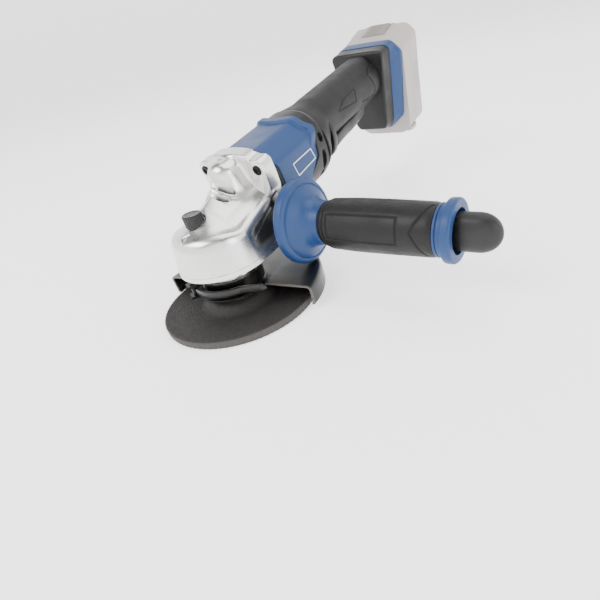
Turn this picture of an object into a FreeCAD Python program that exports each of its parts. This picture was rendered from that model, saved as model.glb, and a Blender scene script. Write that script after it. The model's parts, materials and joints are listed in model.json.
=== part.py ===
# Cordless 125 mm angle grinder, built piece by piece.
#
# Frame: the origin is the free end of the spindle, on the spindle axis. +Z runs up the
# spindle, +X out along the side handle and +Y back towards the battery.
# The motor, the grip and the battery lie along the tool axis, which crosses the spindle
# axis at axis_height and rises towards the rear by tilt degrees. Pieces on it are drawn
# in the tool frame: x across, y along the tool axis, z away from it.
import FreeCAD, Part
import math
import os
import Sketcher
from FreeCAD import Placement, Rotation, Vector

os.makedirs("parts", exist_ok=True)
doc = FreeCAD.newDocument("angle_grinder")
dim = doc.addObject("Spreadsheet::Sheet", "dim")

# ---------------------------------------------------------------- driving dimensions
SIZES = [
    ("tilt", 8.5, "rise of the tool axis, degrees"),
    ("axis_height", 67.5, "height where the tool axis crosses the spindle"),
    ("run_gap", 0.03, "radial clearance of a running shaft"),
    ("seat_gap", 0.05, "radial clearance of a seated ring"),
    ("slide_gap", 0.3, "clearance of pieces that slide or swing past each other"),
    ("disc_radius", 62.5, "grinding disc"),
    ("disc_thick", 6, "grinding disc"),
    ("disc_low", 0.5, "disc face below the spindle's end"),
    ("hub_radius", 23, "raised hub of the disc"),
    ("hub_rise", 7, "offset of the raised hub"),
    ("disc_bore", 11.15, "bore of the disc, radius"),
    ("nut_radius", 20, "lock nut"),
    ("nut_thick", 3.6, "lock nut"),
    ("nut_pin_circle", 15, "holes for the two-pin spanner, radius of their circle"),
    ("nut_hole", 2.6, "holes for the two-pin spanner, radius"),
    ("flange_radius", 20, "inner flange"),
    ("flange_thick", 4.5, "inner flange"),
    ("thread_radius", 7, "spindle thread, M14"),
    ("tip_radius", 6, "turned-down free end of the spindle"),
    ("tip_step", 0.2, "spindle tip's shoulder below the lock nut"),
    ("journal_radius", 7.5, "spindle in its ball bearing"),
    ("collar_radius", 9.5, "spindle shoulder"),
    ("collar_high", 8.5, "spindle shoulder"),
    ("gear_seat", 6, "spindle in the bevel gear, radius"),
    ("top_journal", 4, "spindle in its top bush, radius"),
    ("bush_radius", 5.3, "top bush"),
    ("bush_high", 5.5, "top of the bush above the tool axis"),
    ("bearing_radius", 17.5, "spindle bearing"),
    ("bearing_thick", 11, "spindle bearing"),
    ("retainer_radius", "=bearing_radius + 2", "bearing retainer"),
    ("retainer_thick", 2, "bearing retainer"),
    ("neck_radius", "=bearing_radius + 4.5", "guard neck of the bearing plate"),
    ("neck_low", 19.5, "lower end of the guard neck"),
    ("plate_low", 38.5, "underside of the bearing plate"),
    ("plate_thick", 3.5, "bearing plate"),
    ("head_radius", 35.5, "rounded nose of the gear head"),
    ("head_half", 31, "half width of the gear head at the rear"),
    ("head_rear", 46, "rear edge of the bearing plate"),
    ("belly_top", 61, "top of the gear head's upright wall"),
    ("belly_draft", 3.7, "how far the belly wall leans in at its top"),
    ("roof_top", 77, "roof of the gear head over the spindle"),
    ("pitch_radius", 22, "bevel gear at its outer end"),
    ("chamber_radius", "=pitch_radius + 6", "gear chamber"),
    ("gear_teeth", 36, "bevel gear"),
    ("pinion_teeth", 12, "bevel pinion"),
    ("tooth_share", 0.28, "length of the teeth as a share of the cone"),
    ("pin_circle", 12.5, "holes for the lock pin, radius of their circle"),
    ("lock_pin_radius", 2.4, "spindle lock pin"),
    ("lock_travel", 3.5, "travel of the spindle lock"),
    ("button_lift", 0.5, "underside of the lock button above the roof"),
    ("button_high", 4, "top of the lock button above the roof"),
    ("button_radius", 7, "spindle lock button"),
    ("flange_start", 37, "rear flange of the gear head, along the tool axis"),
    ("seal_start", 52, "front of the collar seal"),
    ("seal_thick", 3.5, "collar seal"),
    ("screw_side", 22, "shoulder screws, to the side"),
    ("screw_up", 21, "shoulder screws, above the axis"),
    ("housing_half", 29, "motor housing, half width"),
    ("housing_up", 28.5, "motor housing, half height"),
    ("housing_chamfer", 13, "motor housing, corner facets"),
    ("rim_rise", 2, "raised rear rim of the housing"),
    ("rim_long", 7, "raised rear rim of the housing"),
    ("cowl_start", 112, "front of the vent cowl"),
    ("cowl_long", 29, "vent cowl"),
    ("cowl_radius", "=housing_half + 2.5", "vent cowl"),
    ("shell_wall", 2.5, "moulded shells"),
    ("can_radius", 25.5, "motor can"),
    ("can_wall", 2, "motor can"),
    ("can_start", 73, "motor can"),
    ("can_long", 36, "motor can"),
    ("armature_radius", 17, "armature"),
    ("air_gap", 0.6, "between armature and magnets"),
    ("shaft_radius", 5, "rotor shaft"),
    ("fan_radius", 23, "cooling fan"),
    ("fan_start", 58, "cooling fan"),
    ("fan_long", 9, "cooling fan"),
    ("front_bearing_radius", 14, "front motor bearing"),
    ("rear_bearing_radius", 11, "rear motor bearing"),
    ("front_bearing_start", 38, "front motor bearing"),
    ("rear_bearing_start", 128, "rear motor bearing"),
    ("front_bearing_long", 8, "front motor bearing"),
    ("rear_bearing_long", 7, "rear motor bearing"),
    ("front_journal", 6, "rotor shaft in its front bearing, radius"),
    ("rear_journal", 4, "rotor shaft in its rear bearing and in the pinion, radius"),
    ("stack_start", "=can_start + 5", "front of the armature"),
    ("stack_long", 28, "armature"),
    ("coil_long", 5, "end turns of the winding"),
    ("commutator_radius", 10, "commutator"),
    ("commutator_long", 11, "commutator"),
    ("brush_high", 5.8, "carbon brush"),
    ("paddle_pin_radius", 1.5, "hinge pin of the paddle"),
    ("paddle_pin_low", 1.5, "hinge pin of the paddle below the tool axis"),
    ("tab_axle_radius", 1.15, "axle of the lock-off tab"),
    ("head_screw_radius", 2.5, "shoulder screws"),
    ("head_screw_cap", 4.4, "heads of the shoulder screws, radius"),
    ("grip_half", 21.5, "grip, half width"),
    ("grip_top", 29, "top of the grip above the tool axis"),
    ("grip_low", 13, "underside of the grip below the tool axis"),
    ("grip_corner", 15, "rounded corners of the grip"),
    ("foot_start", 240, "front of the battery foot"),
        ("foot_long", 27, "battery foot"),
    ("bezel_start", "=foot_start + foot_long", "front of the foot's bezel"),
    ("bezel_rear", "=bezel_start + 10", "rear of the foot's bezel"),
    ("bezel_half", 37.5, "bezel, half width"),
    ("foot_half", "=bezel_half - 4.5", "battery foot, half width"),
    ("bezel_top", 30, "bezel above the tool axis"),
    ("bezel_low", 56, "bezel below the tool axis"),
    ("bezel_chamfer", 11, "bezel corner facets"),
    ("pack_deep", 42, "battery behind the bezel"),
    ("pack_wall", 2, "battery case"),
    ("rail_half", 22, "battery tongue, half width at its neck"),
    ("rail_lip", 2, "undercut of the battery tongue"),
    ("rail_deep", 4.5, "battery tongue"),
    ("cell_radius", 9.1, "battery cell"),
    ("cell_long", 65, "battery cell"),
    ("guard_sheet", 1.6, "wheel guard"),
    ("guard_gap", 5.9, "room between the disc and the guard's skirt"),
    ("guard_radius", "=disc_radius + guard_gap + guard_sheet", "wheel guard"),
    ("guard_top", 18.9, "upper face of the wheel guard"),
    ("guard_low", 2.5, "lower edge of the guard's skirt"),
    ("guard_lip", 2.2, "inward lip of the skirt"),
    ("guard_from", 5, "right end of the guard, degrees from +X"),
    ("guard_sweep", 182, "covered angle, degrees"),
    ("band_wall", 2, "clamp band"),
    ("band_top", 30, "top of the clamp band"),
    ("lever_radius", "=neck_radius + band_wall + 3.2", "inside of the clamp lever"),
    ("lever_wall", 3.4, "clamp lever"),
    ("lever_low", 21.5, "clamp lever"),
    ("lever_high", 27.5, "clamp lever"),
    ("lever_pin_radius", 2, "pin of the clamp lever"),
    ("lever_pivot_out", "=lever_radius + lever_wall + 0.4", "pin of the clamp lever, from the spindle"),
    ("lever_pivot_turn", -122, "pin of the clamp lever, degrees from +X"),
    ("handle_back", 44, "handle axis behind the spindle"),
    ("handle_up", 51.5, "handle axis above the spindle's end"),
    ("stud_radius", 4, "handle thread, M8"),
    ("boss_face", 34, "face that the handle screws against"),
    ("handle_flange_radius", 32, "hand guard flange of the handle"),
    ("grip_bar_radius", 19, "handle grip at its middle"),
    ("ring_start", 161, "blue end ring of the handle"),
    ("handle_end", 174, "open end of the handle"),
    ("ring_radius", "=grip_bar_radius + 2", "blue end ring of the handle"),
    ("core_bore", "=grip_bar_radius - 5.4", "hollow of the handle, radius"),
    ("wrench_tip", 202, "rounded end of the stored spanner"),
    ("wrench_half", "=core_bore - 0.6", "spanner grip, half width"),
    ("paddle_half", 15, "paddle switch, half width"),
    ("paddle_start", 146, "front end of the paddle"),
    ("paddle_long", 74, "paddle switch"),
    ("paddle_deep", 7, "paddle switch below the grip"),
]
for row, (alias, value, meaning) in enumerate(SIZES, start=1):
    dim.set("A%d" % row, meaning)
    dim.set("B%d" % row, str(value))
    dim.setAlias("B%d" % row, alias)
doc.recompute()


class Sizes:
    """The sheet's values, read once for the shapes that Part functions make."""


mm = Sizes()
for alias, value, meaning in SIZES:
    setattr(mm, alias, float(dim.get(alias)))


def size(text):
    """Value of an expression on the sheet's aliases."""
    return float(dim.evalExpression(text))


def bound(text):
    """The expression with each alias named as the sheet's."""
    words = []
    for word in str(text).replace("(", " ( ").replace(")", " ) ").split():
        words.append("dim." + word if word[0].isalpha() else word)
    return " ".join(words)


# ---------------------------------------------------------------- helpers
TOOL = Placement(Vector(0, 0, mm.axis_height), Rotation(Vector(1, 0, 0), mm.tilt))
HANDLE = Placement(Vector(0, mm.handle_back, mm.handle_up), Rotation())
ROW = Placement()
nodes = []


def plane(body, role):
    for feature in body.Origin.OriginFeatures:
        if feature.Role == role:
            return feature
    raise ValueError(role)


def new_body(label, place):
    body = doc.addObject("PartDesign::Body", "body_" + label)
    body.Label = label
    body.Placement = place
    if place is TOOL:
        body.setExpression("Placement.Base.z", "dim.axis_height")
        body.setExpression("Placement.Rotation.Angle", "dim.tilt * 1deg")
    if place is HANDLE:
        body.setExpression("Placement.Base.y", "dim.handle_back")
        body.setExpression("Placement.Base.z", "dim.handle_up")
    nodes.append(body)
    return body


def pin_down(sketch, geometry, point, text, direction, axis):
    """Hold one coordinate of a sketch point to an expression."""
    value = size(text)
    if text == "0":
        sketch.addConstraint(Sketcher.Constraint("PointOnObject", geometry, point, axis))
    elif value >= 0:
        index = sketch.addConstraint(
            Sketcher.Constraint(direction, -1, 1, geometry, point, value))
        sketch.setExpression("Constraints[%d]" % index, bound(text))
    else:
        index = sketch.addConstraint(
            Sketcher.Constraint(direction, geometry, point, -1, 1, -value))
        sketch.setExpression("Constraints[%d]" % index, "-1 * ( " + bound(text) + " )")


def outline(body, role, points, name, offset=None):
    """A closed straight-sided outline whose corners are expressions on the sheet."""
    sketch = body.newObject("Sketcher::SketchObject", body.Label + "_" + name)
    sketch.AttachmentSupport = (plane(body, role), [""])
    sketch.MapMode = "FlatFace"
    if offset is not None:
        sketch.setExpression("AttachmentOffset.Base.z", bound(offset))
    corners = [Vector(size(x), size(y), 0) for x, y in points]
    count = len(corners)
    for i in range(count):
        sketch.addGeometry(Part.LineSegment(corners[i], corners[(i + 1) % count]), False)
    for i in range(count):
        sketch.addConstraint(Sketcher.Constraint("Coincident", i, 2, (i + 1) % count, 1))
    for i, (x, y) in enumerate(points):
        pin_down(sketch, i, 1, x, "DistanceX", -2)
        pin_down(sketch, i, 1, y, "DistanceY", -1)
    return sketch


def circle(body, role, radius, x, y, name, offset=None):
    sketch = body.newObject("Sketcher::SketchObject", body.Label + "_" + name)
    sketch.AttachmentSupport = (plane(body, role), [""])
    sketch.MapMode = "FlatFace"
    if offset is not None:
        sketch.setExpression("AttachmentOffset.Base.z", bound(offset))
    sketch.addGeometry(Part.Circle(Vector(size(x), size(y), 0), Vector(0, 0, 1), size(radius)), False)
    index = sketch.addConstraint(Sketcher.Constraint("Radius", 0, size(radius)))
    sketch.setExpression("Constraints[%d]" % index, bound(radius))
    pin_down(sketch, 0, 3, x, "DistanceX", -2)
    pin_down(sketch, 0, 3, y, "DistanceY", -1)
    return sketch


def turned(label, place, axis, points):
    """A turned piece. The outline holds (radius, height) pairs about Z, or (along,
    radius) pairs about the X or Y axis of the place."""
    body = new_body(label, place)
    role = {"Z": "XZ_Plane", "Y": "YZ_Plane", "X": "XZ_Plane"}[axis]
    sketch = outline(body, role, points, "outline")
    turn = body.newObject("PartDesign::Revolution", label + "_turn")
    turn.Profile = sketch
    turn.ReferenceAxis = (sketch, ["V_Axis" if axis == "Z" else "H_Axis"])
    turn.Angle = 360
    body.Tip = turn
    return body


def ring(label, place, axis, inner, outer, low, high):
    """A turned ring between two radii and two stations."""
    if axis == "Z":
        return turned(label, place, axis, [(inner, low), (outer, low), (outer, high), (inner, high)])
    return turned(label, place, axis, [(low, inner), (high, inner), (high, outer), (low, outer)])


def padded(label, place, points, start, long, reverse=True):
    """A section of the tool or handle, drawn across Y and carried back from start."""
    body = new_body(label, place)
    sketch = outline(body, "XZ_Plane", points, "outline", "-1 * ( " + start + " )")
    pad = body.newObject("PartDesign::Pad", label + "_pad")
    pad.Profile = sketch
    pad.Reversed = reverse
    pad.setExpression("Length", bound(long))
    body.Tip = pad
    return body


def pocket(body, sketch, long, name, reverse=False):
    doc.recompute()
    before = body.Shape.Volume
    cut = body.newObject("PartDesign::Pocket", body.Label + "_" + name)
    cut.Profile = sketch
    cut.Reversed = reverse
    cut.setExpression("Length", bound(long))
    body.Tip = cut
    doc.recompute()
    if not body.Shape.Volume < before - 1:
        raise ValueError(body.Label + "_" + name + " cuts nothing")
    return cut


def polar(body, feature, sketch, count, axis, name):
    pattern = body.newObject("PartDesign::PolarPattern", body.Label + "_" + name)
    pattern.Originals = [feature]
    pattern.Axis = (sketch, [axis])
    pattern.Angle = 360
    pattern.Occurrences = count
    body.Tip = pattern
    return pattern


def shaped(label, shape, place=ROW):
    """A piece whose shape comes from Part's own functions."""
    feature = doc.addObject("Part::Feature", "shape_" + label)
    feature.Label = label
    feature.Shape = shape
    feature.Placement = place.multiply(shape.Placement)
    nodes.append(feature)
    return feature


def wire(points):
    return Part.makePolygon([Vector(*p) for p in points] + [Vector(*points[0])])


def prism(points, along):
    return Part.Face(wire(points)).extrude(Vector(*along))


def tube(outer, inner, base, axis, long):
    """A straight tube, or a rod where inner is 0."""
    rod = Part.makeCylinder(outer, long, Vector(*base), Vector(*axis))
    if inner > 0:
        rod = rod.cut(Part.makeCylinder(inner, long, Vector(*base), Vector(*axis)))
    return rod


def box(low, high):
    edge = [high[i] - low[i] for i in range(3)]
    return Part.makeBox(edge[0], edge[1], edge[2], Vector(*low))


def octagon(half, up, low, chamfer, y, lower_chamfer=None):
    """Corners of a faceted section at station y."""
    small = chamfer if lower_chamfer is None else lower_chamfer
    return [(half, y, up - chamfer), (half - chamfer, y, up), (chamfer - half, y, up),
            (-half, y, up - chamfer), (-half, y, small - low), (small - half, y, -low),
            (half - small, y, -low), (half, y, small - low)]


def rounded(half, up, low, corner, y):
    """A rounded rectangle section at station y, as a closed wire."""
    edges = []
    centres = [(half - corner, up - corner, 0), (corner - half, up - corner, 90),
               (corner - half, corner - low, 180), (half - corner, corner - low, 270)]
    ends = []
    for cx, cz, start in centres:
        marks = []
        for turn in (start, start + 45, start + 90):
            a = math.radians(turn)
            marks.append(Vector(cx + corner * math.cos(a), y, cz + corner * math.sin(a)))
        edges.append(Part.Arc(marks[0], marks[1], marks[2]).toShape())
        ends.append((marks[0], marks[2]))
    for i in range(4):
        edges.append(Part.makeLine(ends[i][1], ends[(i + 1) % 4][0]))
    return Part.Wire(Part.__sortEdges__(edges))


def lofted(wires):
    return Part.makeLoft(wires, True, True)


def fused(shapes):
    return shapes[0].multiFuse(shapes[1:]).removeSplitter()


def polar_point(radius, degrees, z):
    a = math.radians(degrees)
    return Vector(radius * math.cos(a), radius * math.sin(a), z)


def sector(inner, outer, start, sweep, low, high):
    """A piece of a ring about Z between two angles."""
    a0 = polar_point(inner, start, low)
    a1 = polar_point(outer, start, low)
    face = Part.Face(Part.makePolygon([a0, a1, a1 + Vector(0, 0, high - low),
                                       a0 + Vector(0, 0, high - low), a0]))
    return face.revolve(Vector(0, 0, 0), Vector(0, 0, 1), sweep)


# ---------------------------------------------------------------- stations on the spindle
HUB_LOW = "hub_rise - disc_low"
HUB_TOP = "hub_rise - disc_low + disc_thick"
FLANGE_TOP = HUB_TOP + " + flange_thick"
TIP_TOP = HUB_LOW + " - nut_thick - tip_step"
BEARING_LOW = FLANGE_TOP + " + collar_high"
BEARING_TOP = BEARING_LOW + " + bearing_thick"
PLATE_TOP = "plate_low + plate_thick"
hub_low = size(HUB_LOW)
bearing_low = size(BEARING_LOW)
bearing_top = size(BEARING_TOP)
plate_top = size(PLATE_TOP)

tilt = math.radians(mm.tilt)
pinion_pitch = mm.pitch_radius * mm.pinion_teeth / mm.gear_teeth
cone_reach = (mm.pitch_radius - pinion_pitch * math.sin(tilt)) / math.cos(tilt)
pitch_drop = pinion_pitch * math.cos(tilt) - cone_reach * math.sin(tilt)

# Radial and height steps of the teeth at the outer end of the cone
TOOTH_TIP = 1.1
TOOTH_ROOT = 1.4
TOOTH_SINK = 0.5
BACKLASH = 0.32
cone_long = math.hypot(mm.pitch_radius, pitch_drop)
cone_out = Vector(0, mm.pitch_radius / cone_long, -pitch_drop / cone_long)
cone_up = Vector(0, pitch_drop / cone_long, mm.pitch_radius / cone_long)
inner_share = 1 - mm.tooth_share
web_top = mm.axis_height - pitch_drop - TOOTH_ROOT - 0.6
web_low = web_top - 6
gear_hub_low = web_low - 6
APEX = Vector(0, 0, mm.axis_height)


def tooth(side):
    """One bevel tooth at the mesh point, a frustum that narrows to the cone's apex.
    side is 1 for the gear, whose teeth stand up, and -1 for the pinion."""
    pitch_half = math.pi * mm.pitch_radius / mm.gear_teeth / 2 - BACKLASH / 2
    outline_at = [(-pitch_half * 1.45, -TOOTH_ROOT - TOOTH_SINK), (pitch_half * 1.45, -TOOTH_ROOT - TOOTH_SINK),
                  (pitch_half, 0), (pitch_half * 0.5, TOOTH_TIP), (-pitch_half * 0.5, TOOTH_TIP),
                  (-pitch_half, 0)]
    ends = []
    for share in (inner_share, 1.0):
        centre = APEX + cone_out * (cone_long * share)
        corners = [centre + Vector(across * share, 0, 0) + cone_up * (side * up * share)
                   for across, up in outline_at]
        ends.append(Part.makePolygon(corners + [corners[0]]))
    return Part.makeLoft(ends, True, True)


# ---------------------------------------------------------------- spindle and disc
def make_disc():
    turned("grinding_disc", ROW, "Z", [
        ("disc_bore", HUB_LOW), ("hub_radius - 4", HUB_LOW), ("hub_radius + 3", "-1 * disc_low"),
        ("disc_radius", "-1 * disc_low"), ("disc_radius", "disc_thick - disc_low"),
        ("hub_radius + 7", "disc_thick - disc_low"), ("hub_radius", HUB_TOP), ("disc_bore", HUB_TOP)])


def make_nut():
    low = HUB_LOW + " - nut_thick"
    body = turned("lock_nut", ROW, "Z", [
        ("thread_radius + run_gap", low), ("nut_radius - 1", low), ("nut_radius - 1", low + " + 2"),
        ("nut_radius - 2", HUB_LOW), ("thread_radius + run_gap", HUB_LOW)])
    doc.recompute()
    hole = circle(body, "XY_Plane", "nut_hole", "nut_pin_circle", "0", "hole", low)
    cut = pocket(body, hole, "nut_thick - 0.8", "pin_hole", True)
    polar(body, cut, hole, 2, "N_Axis", "pin_holes")


def make_flange():
    bottom = HUB_TOP
    turned("inner_flange", ROW, "Z", [
        ("thread_radius + run_gap", HUB_LOW + " + 1"), ("disc_bore - 0.1", HUB_LOW + " + 1"),
        ("disc_bore - 0.1", bottom), ("flange_radius", bottom),
        ("flange_radius", bottom + " + flange_thick - 1.5"), ("collar_radius + 3", FLANGE_TOP),
        ("thread_radius + run_gap", FLANGE_TOP)])


def make_spindle():
    top = str(web_top + 2)
    turned("spindle", ROW, "Z", [
        ("0", "0"), ("tip_radius", "0"), ("tip_radius", TIP_TOP), ("thread_radius", TIP_TOP),
        ("thread_radius", FLANGE_TOP),
        ("collar_radius", FLANGE_TOP), ("collar_radius", BEARING_LOW), ("journal_radius", BEARING_LOW),
        ("journal_radius", str(gear_hub_low)), ("gear_seat", str(gear_hub_low)), ("gear_seat", top),
        ("top_journal", top), ("top_journal", "axis_height + bush_high - 0.8"),
        ("0", "axis_height + bush_high - 0.8")])


def make_bevel_gear():
    """Crown-like bevel gear: a conical blank with its ring of teeth on top."""
    def at(share, up):
        spot = APEX + cone_out * (cone_long * share) + cone_up * (up * share)
        return (spot.y, 0, spot.z)
    rim = at(1.0, -TOOTH_ROOT)
    seat = mm.gear_seat + mm.seat_gap
    inner = at(inner_share, -TOOTH_ROOT)
    profile = [(seat, 0, gear_hub_low), (mm.pin_circle - 1, 0, gear_hub_low), (mm.pin_circle - 1, 0, web_low),
               (rim[0] + 0.6, 0, web_low), (rim[0] + 0.6, 0, rim[2] - 0.6), rim, inner,
               (inner[0], 0, web_top), (seat, 0, web_top)]
    blank = Part.Face(wire(profile)).revolve(Vector(0, 0, 0), Vector(0, 0, 1), 360)
    count = int(mm.gear_teeth)
    first = tooth(1).rotate(APEX, Vector(0, 0, 1), 180 / count)
    teeth = []
    for i in range(count):
        teeth.append(first.copy().rotate(APEX, Vector(0, 0, 1), 360 * i / count))
    gear = blank.multiFuse(teeth)
    holes = []
    for i in range(4):
        spot = polar_point(mm.pin_circle, 90 * i, web_top - 4.5)
        holes.append(Part.makeCylinder(mm.lock_pin_radius + 0.25, 8, spot))
    shaped("bevel_gear", gear.cut(Part.makeCompound(holes)))


# ---------------------------------------------------------------- bearing plate and head
def full_plan(radius, half, rear, z):
    """Round nose that reaches past its centre, then flanks that close in to the rear."""
    start = Vector(radius, 0, z)
    end = Vector(-radius, 0, z)
    nose = Part.Arc(start, Vector(0, -radius, z), end).toShape()
    edges = [nose, Part.makeLine(end, Vector(-half, rear, z)),
             Part.makeLine(Vector(-half, rear, z), Vector(half, rear, z)),
             Part.makeLine(Vector(half, rear, z), start)]
    return Part.Wire(Part.__sortEdges__(edges))


PLATE_SCREW_SPOTS = [(21.5, -21.5), (-21.5, -21.5), (25.5, 36), (-25.5, 36)]


def make_bearing_plate():
    plan = Part.Face(full_plan(mm.head_radius, mm.head_half, mm.head_rear, mm.plate_low))
    plate = plan.extrude(Vector(0, 0, mm.plate_thick))
    plate = plate.fuse(tube(mm.neck_radius, 0, (0, 0, mm.neck_low), (0, 0, 1), mm.plate_low - mm.neck_low))
    bore = [tube(mm.collar_radius + 0.5, 0, (0, 0, mm.neck_low), (0, 0, 1), 20),
            tube(mm.bearing_radius + mm.seat_gap, 0, (0, 0, bearing_low - 0.05), (0, 0, 1), 20),
            tube(mm.retainer_radius + mm.seat_gap, 0, (0, 0, bearing_top), (0, 0, 1), 20)]
    for x, y in PLATE_SCREW_SPOTS:
        bore.append(tube(2.1, 0, (x, y, mm.plate_low), (0, 0, 1), mm.plate_thick))
        bore.append(tube(3.7, 0, (x, y, mm.plate_low), (0, 0, 1), 1.5))
    shaped("bearing_plate", plate.cut(bore))


def make_plate_screws():
    screws = []
    for x, y in PLATE_SCREW_SPOTS:
        head = tube(3.6, 0, (x, y, mm.plate_low + 0.1), (0, 0, 1), 1.4)
        head = head.cut(box((x - 0.5, y - 2.4, mm.plate_low), (x + 0.5, y + 2.4, mm.plate_low + 0.8)))
        screws.append(head.fuse(tube(2, 0, (x, y, mm.plate_low + 1.4), (0, 0, 1), 11)))
    shaped("plate_screws", Part.makeCompound(screws))


def tool_shape(shape):
    """Bring a shape from the tool frame into the row frame."""
    moved = shape.copy()
    moved.Placement = TOOL.multiply(moved.Placement)
    return moved


SHOULDER_RADIUS = 8.5
LOCK_SHAFT_RADIUS = 4.2
LOCK_WELL = mm.lock_travel + 0.2


def make_gear_head():
    """Belly with its round nose, sloping roof, rear flange and two shoulder bosses,
    bored for the gears, the front motor bearing, the spindle bush and the lock."""
    belly = lofted([full_plan(mm.head_radius - 0.3, mm.head_half, mm.head_rear, plate_top),
                    full_plan(mm.head_radius - mm.belly_draft, mm.head_half - 0.5, mm.head_rear, mm.belly_top)])
    roof = lofted([full_plan(mm.head_radius - mm.belly_draft, mm.head_half - 0.5, mm.head_rear, mm.belly_top),
                   full_plan(mm.head_radius - 15, mm.head_half - 9, mm.head_rear, mm.roof_top)])
    rear = lofted([wire(octagon(16, 15, 14, 6, 3)), wire(octagon(30, 32, 25, 11, mm.flange_start)),
                   wire(octagon(30, 32, 25, 11, mm.seal_start))])
    parts = [belly, roof, tool_shape(rear)]
    parts.append(tube(9, 0, (0, -mm.pin_circle, mm.roof_top - 4), (0, 0, 1), 5))
    for side in (1, -1):
        boss = tube(SHOULDER_RADIUS, 0, (side * (mm.screw_side), 32, mm.screw_up), (0, 1, 0),
                    mm.seal_start - 32)
        parts.append(tool_shape(boss))
        parts.append(tube(mm.handle_up - plate_top, 0, (0, mm.handle_back, mm.handle_up), (side, 0, 0),
                          mm.boss_face))
    solid = parts[0].multiFuse(parts[1:])
    rear_face = tool_shape(box((-60, mm.seal_start, -80), (60, mm.seal_start + 60, 80)))
    chamber = tube(mm.chamber_radius, 0, (0, 0, plate_top - 1), (0, 0, 1), web_top + 5 - plate_top)
    pinion_room = tool_shape(tube(11.5, 0, (0, 0, 0), (0, 1, 0), mm.front_bearing_start))
    bearing_seat = tool_shape(tube(mm.front_bearing_radius + mm.seat_gap, 0,
                                   (0, mm.front_bearing_start - 0.05, 0), (0, 1, 0), 30))
    fan_room = tool_shape(tube(mm.fan_radius + 2, 0, (0, mm.seal_start - 5, 0), (0, 1, 0), 20))
    bush_seat = tube(mm.bush_radius + mm.seat_gap, 0, (0, 0, mm.axis_height - 8), (0, 0, 1),
                     mm.bush_high + 8.1)
    lock_shaft = tube(LOCK_SHAFT_RADIUS + mm.slide_gap, 0, (0, -mm.pin_circle, web_top - 1), (0, 0, 1), 12)
    lock_bore = tube(mm.lock_pin_radius + 0.08, 0, (0, -mm.pin_circle, web_top - 1), (0, 0, 1), 40)
    lock_well = tube(mm.button_radius + mm.slide_gap, 0, (0, -mm.pin_circle, mm.roof_top - LOCK_WELL),
                     (0, 0, 1), 20)
    cuts = [rear_face, chamber, pinion_room, bearing_seat, fan_room, bush_seat, lock_shaft, lock_bore,
            lock_well]
    for side in (1, -1):
        cuts.append(tube(mm.stud_radius, 0, (side * (mm.boss_face - 14), mm.handle_back, mm.handle_up),
                         (side, 0, 0), 20))
        x = side * mm.screw_side
        cuts.append(tool_shape(tube(mm.head_screw_radius + 0.1, 0, (x, 30, mm.screw_up), (0, 1, 0), 30)))
        cuts.append(tool_shape(tube(mm.head_screw_cap + 0.2, 0, (x, 30, mm.screw_up), (0, 1, 0), 8)))
    for x, y in PLATE_SCREW_SPOTS:
        cuts.append(tube(2.05, 0, (x, y, plate_top - 1), (0, 0, 1), 11))
    shaped("gear_head", solid.cut(cuts))


def make_head_screws():
    screws = []
    for side in (1, -1):
        x = side * mm.screw_side
        head = tube(mm.head_screw_cap, 0, (x, 34, mm.screw_up), (0, 1, 0), 3.9)
        socket = prism([(x + 2.2 * math.cos(math.radians(60 * i)), 33.9,
                         mm.screw_up + 2.2 * math.sin(math.radians(60 * i))) for i in range(6)], (0, 2.2, 0))
        shank = tube(mm.head_screw_radius, 0, (x, 37.9, mm.screw_up), (0, 1, 0), 20)
        screws.append(head.cut(socket).fuse(shank))
    shaped("head_screws", Part.makeCompound(screws), TOOL)


def make_spindle_bearings():
    ring("spindle_bearing", ROW, "Z", "journal_radius + run_gap", "bearing_radius", BEARING_LOW, BEARING_TOP)
    retainer_top = BEARING_TOP + " + retainer_thick"
    ring("bearing_retainer", ROW, "Z", "journal_radius + 4", "retainer_radius", BEARING_TOP + " + 0.05",
         retainer_top)
    ring("spindle_bush", ROW, "Z", "top_journal + run_gap", "bush_radius", "axis_height - 0.5",
         "axis_height + bush_high")


# ---------------------------------------------------------------- spindle lock
def make_lock():
    top = "roof_top + button_high"
    seat = "roof_top + button_high - 2"
    low = "roof_top + button_lift"
    body = turned("lock_button", Placement(Vector(0, -mm.pin_circle, 0), Rotation()), "Z", [
        ("lock_pin_radius + seat_gap", low), ("button_radius - 0.6", low),
        ("button_radius", low + " + 0.6"), ("button_radius", top + " - 0.6"), ("button_radius - 0.8", top),
        ("0", top), ("0", seat), ("lock_pin_radius + seat_gap", seat)])
    body.setExpression("Placement.Base.y", "-1 * dim.pin_circle")
    tip = str(web_top + 0.6)
    collar = str(web_top + 4.2) + " + lock_travel"
    pin = turned("lock_pin", Placement(Vector(0, -mm.pin_circle, 0), Rotation()), "Z", [
        ("0", tip), ("lock_pin_radius", tip), ("lock_pin_radius", collar),
        (str(LOCK_SHAFT_RADIUS), collar), (str(LOCK_SHAFT_RADIUS), collar + " + 2"),
        ("lock_pin_radius", collar + " + 2"), ("lock_pin_radius", seat + " - seat_gap"),
        ("0", seat + " - seat_gap")])
    pin.setExpression("Placement.Base.y", "-1 * dim.pin_circle")
    # The coil stands in its well round the pin, under the button.
    low = mm.roof_top - LOCK_WELL + 0.05
    high = mm.roof_top + mm.button_lift - 0.1
    coil = Part.makeHelix((high - low - 0.9) / 3, high - low - 0.9, 5.1)
    coil.translate(Vector(0, -mm.pin_circle, low + 0.45))
    section = Part.Wire(Part.makeCircle(0.45, Vector(5.1, -mm.pin_circle, low + 0.45), Vector(0, 1, 0.04)))
    shaped("lock_spring", Part.Wire(coil).makePipeShell([section], True, True))


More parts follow.
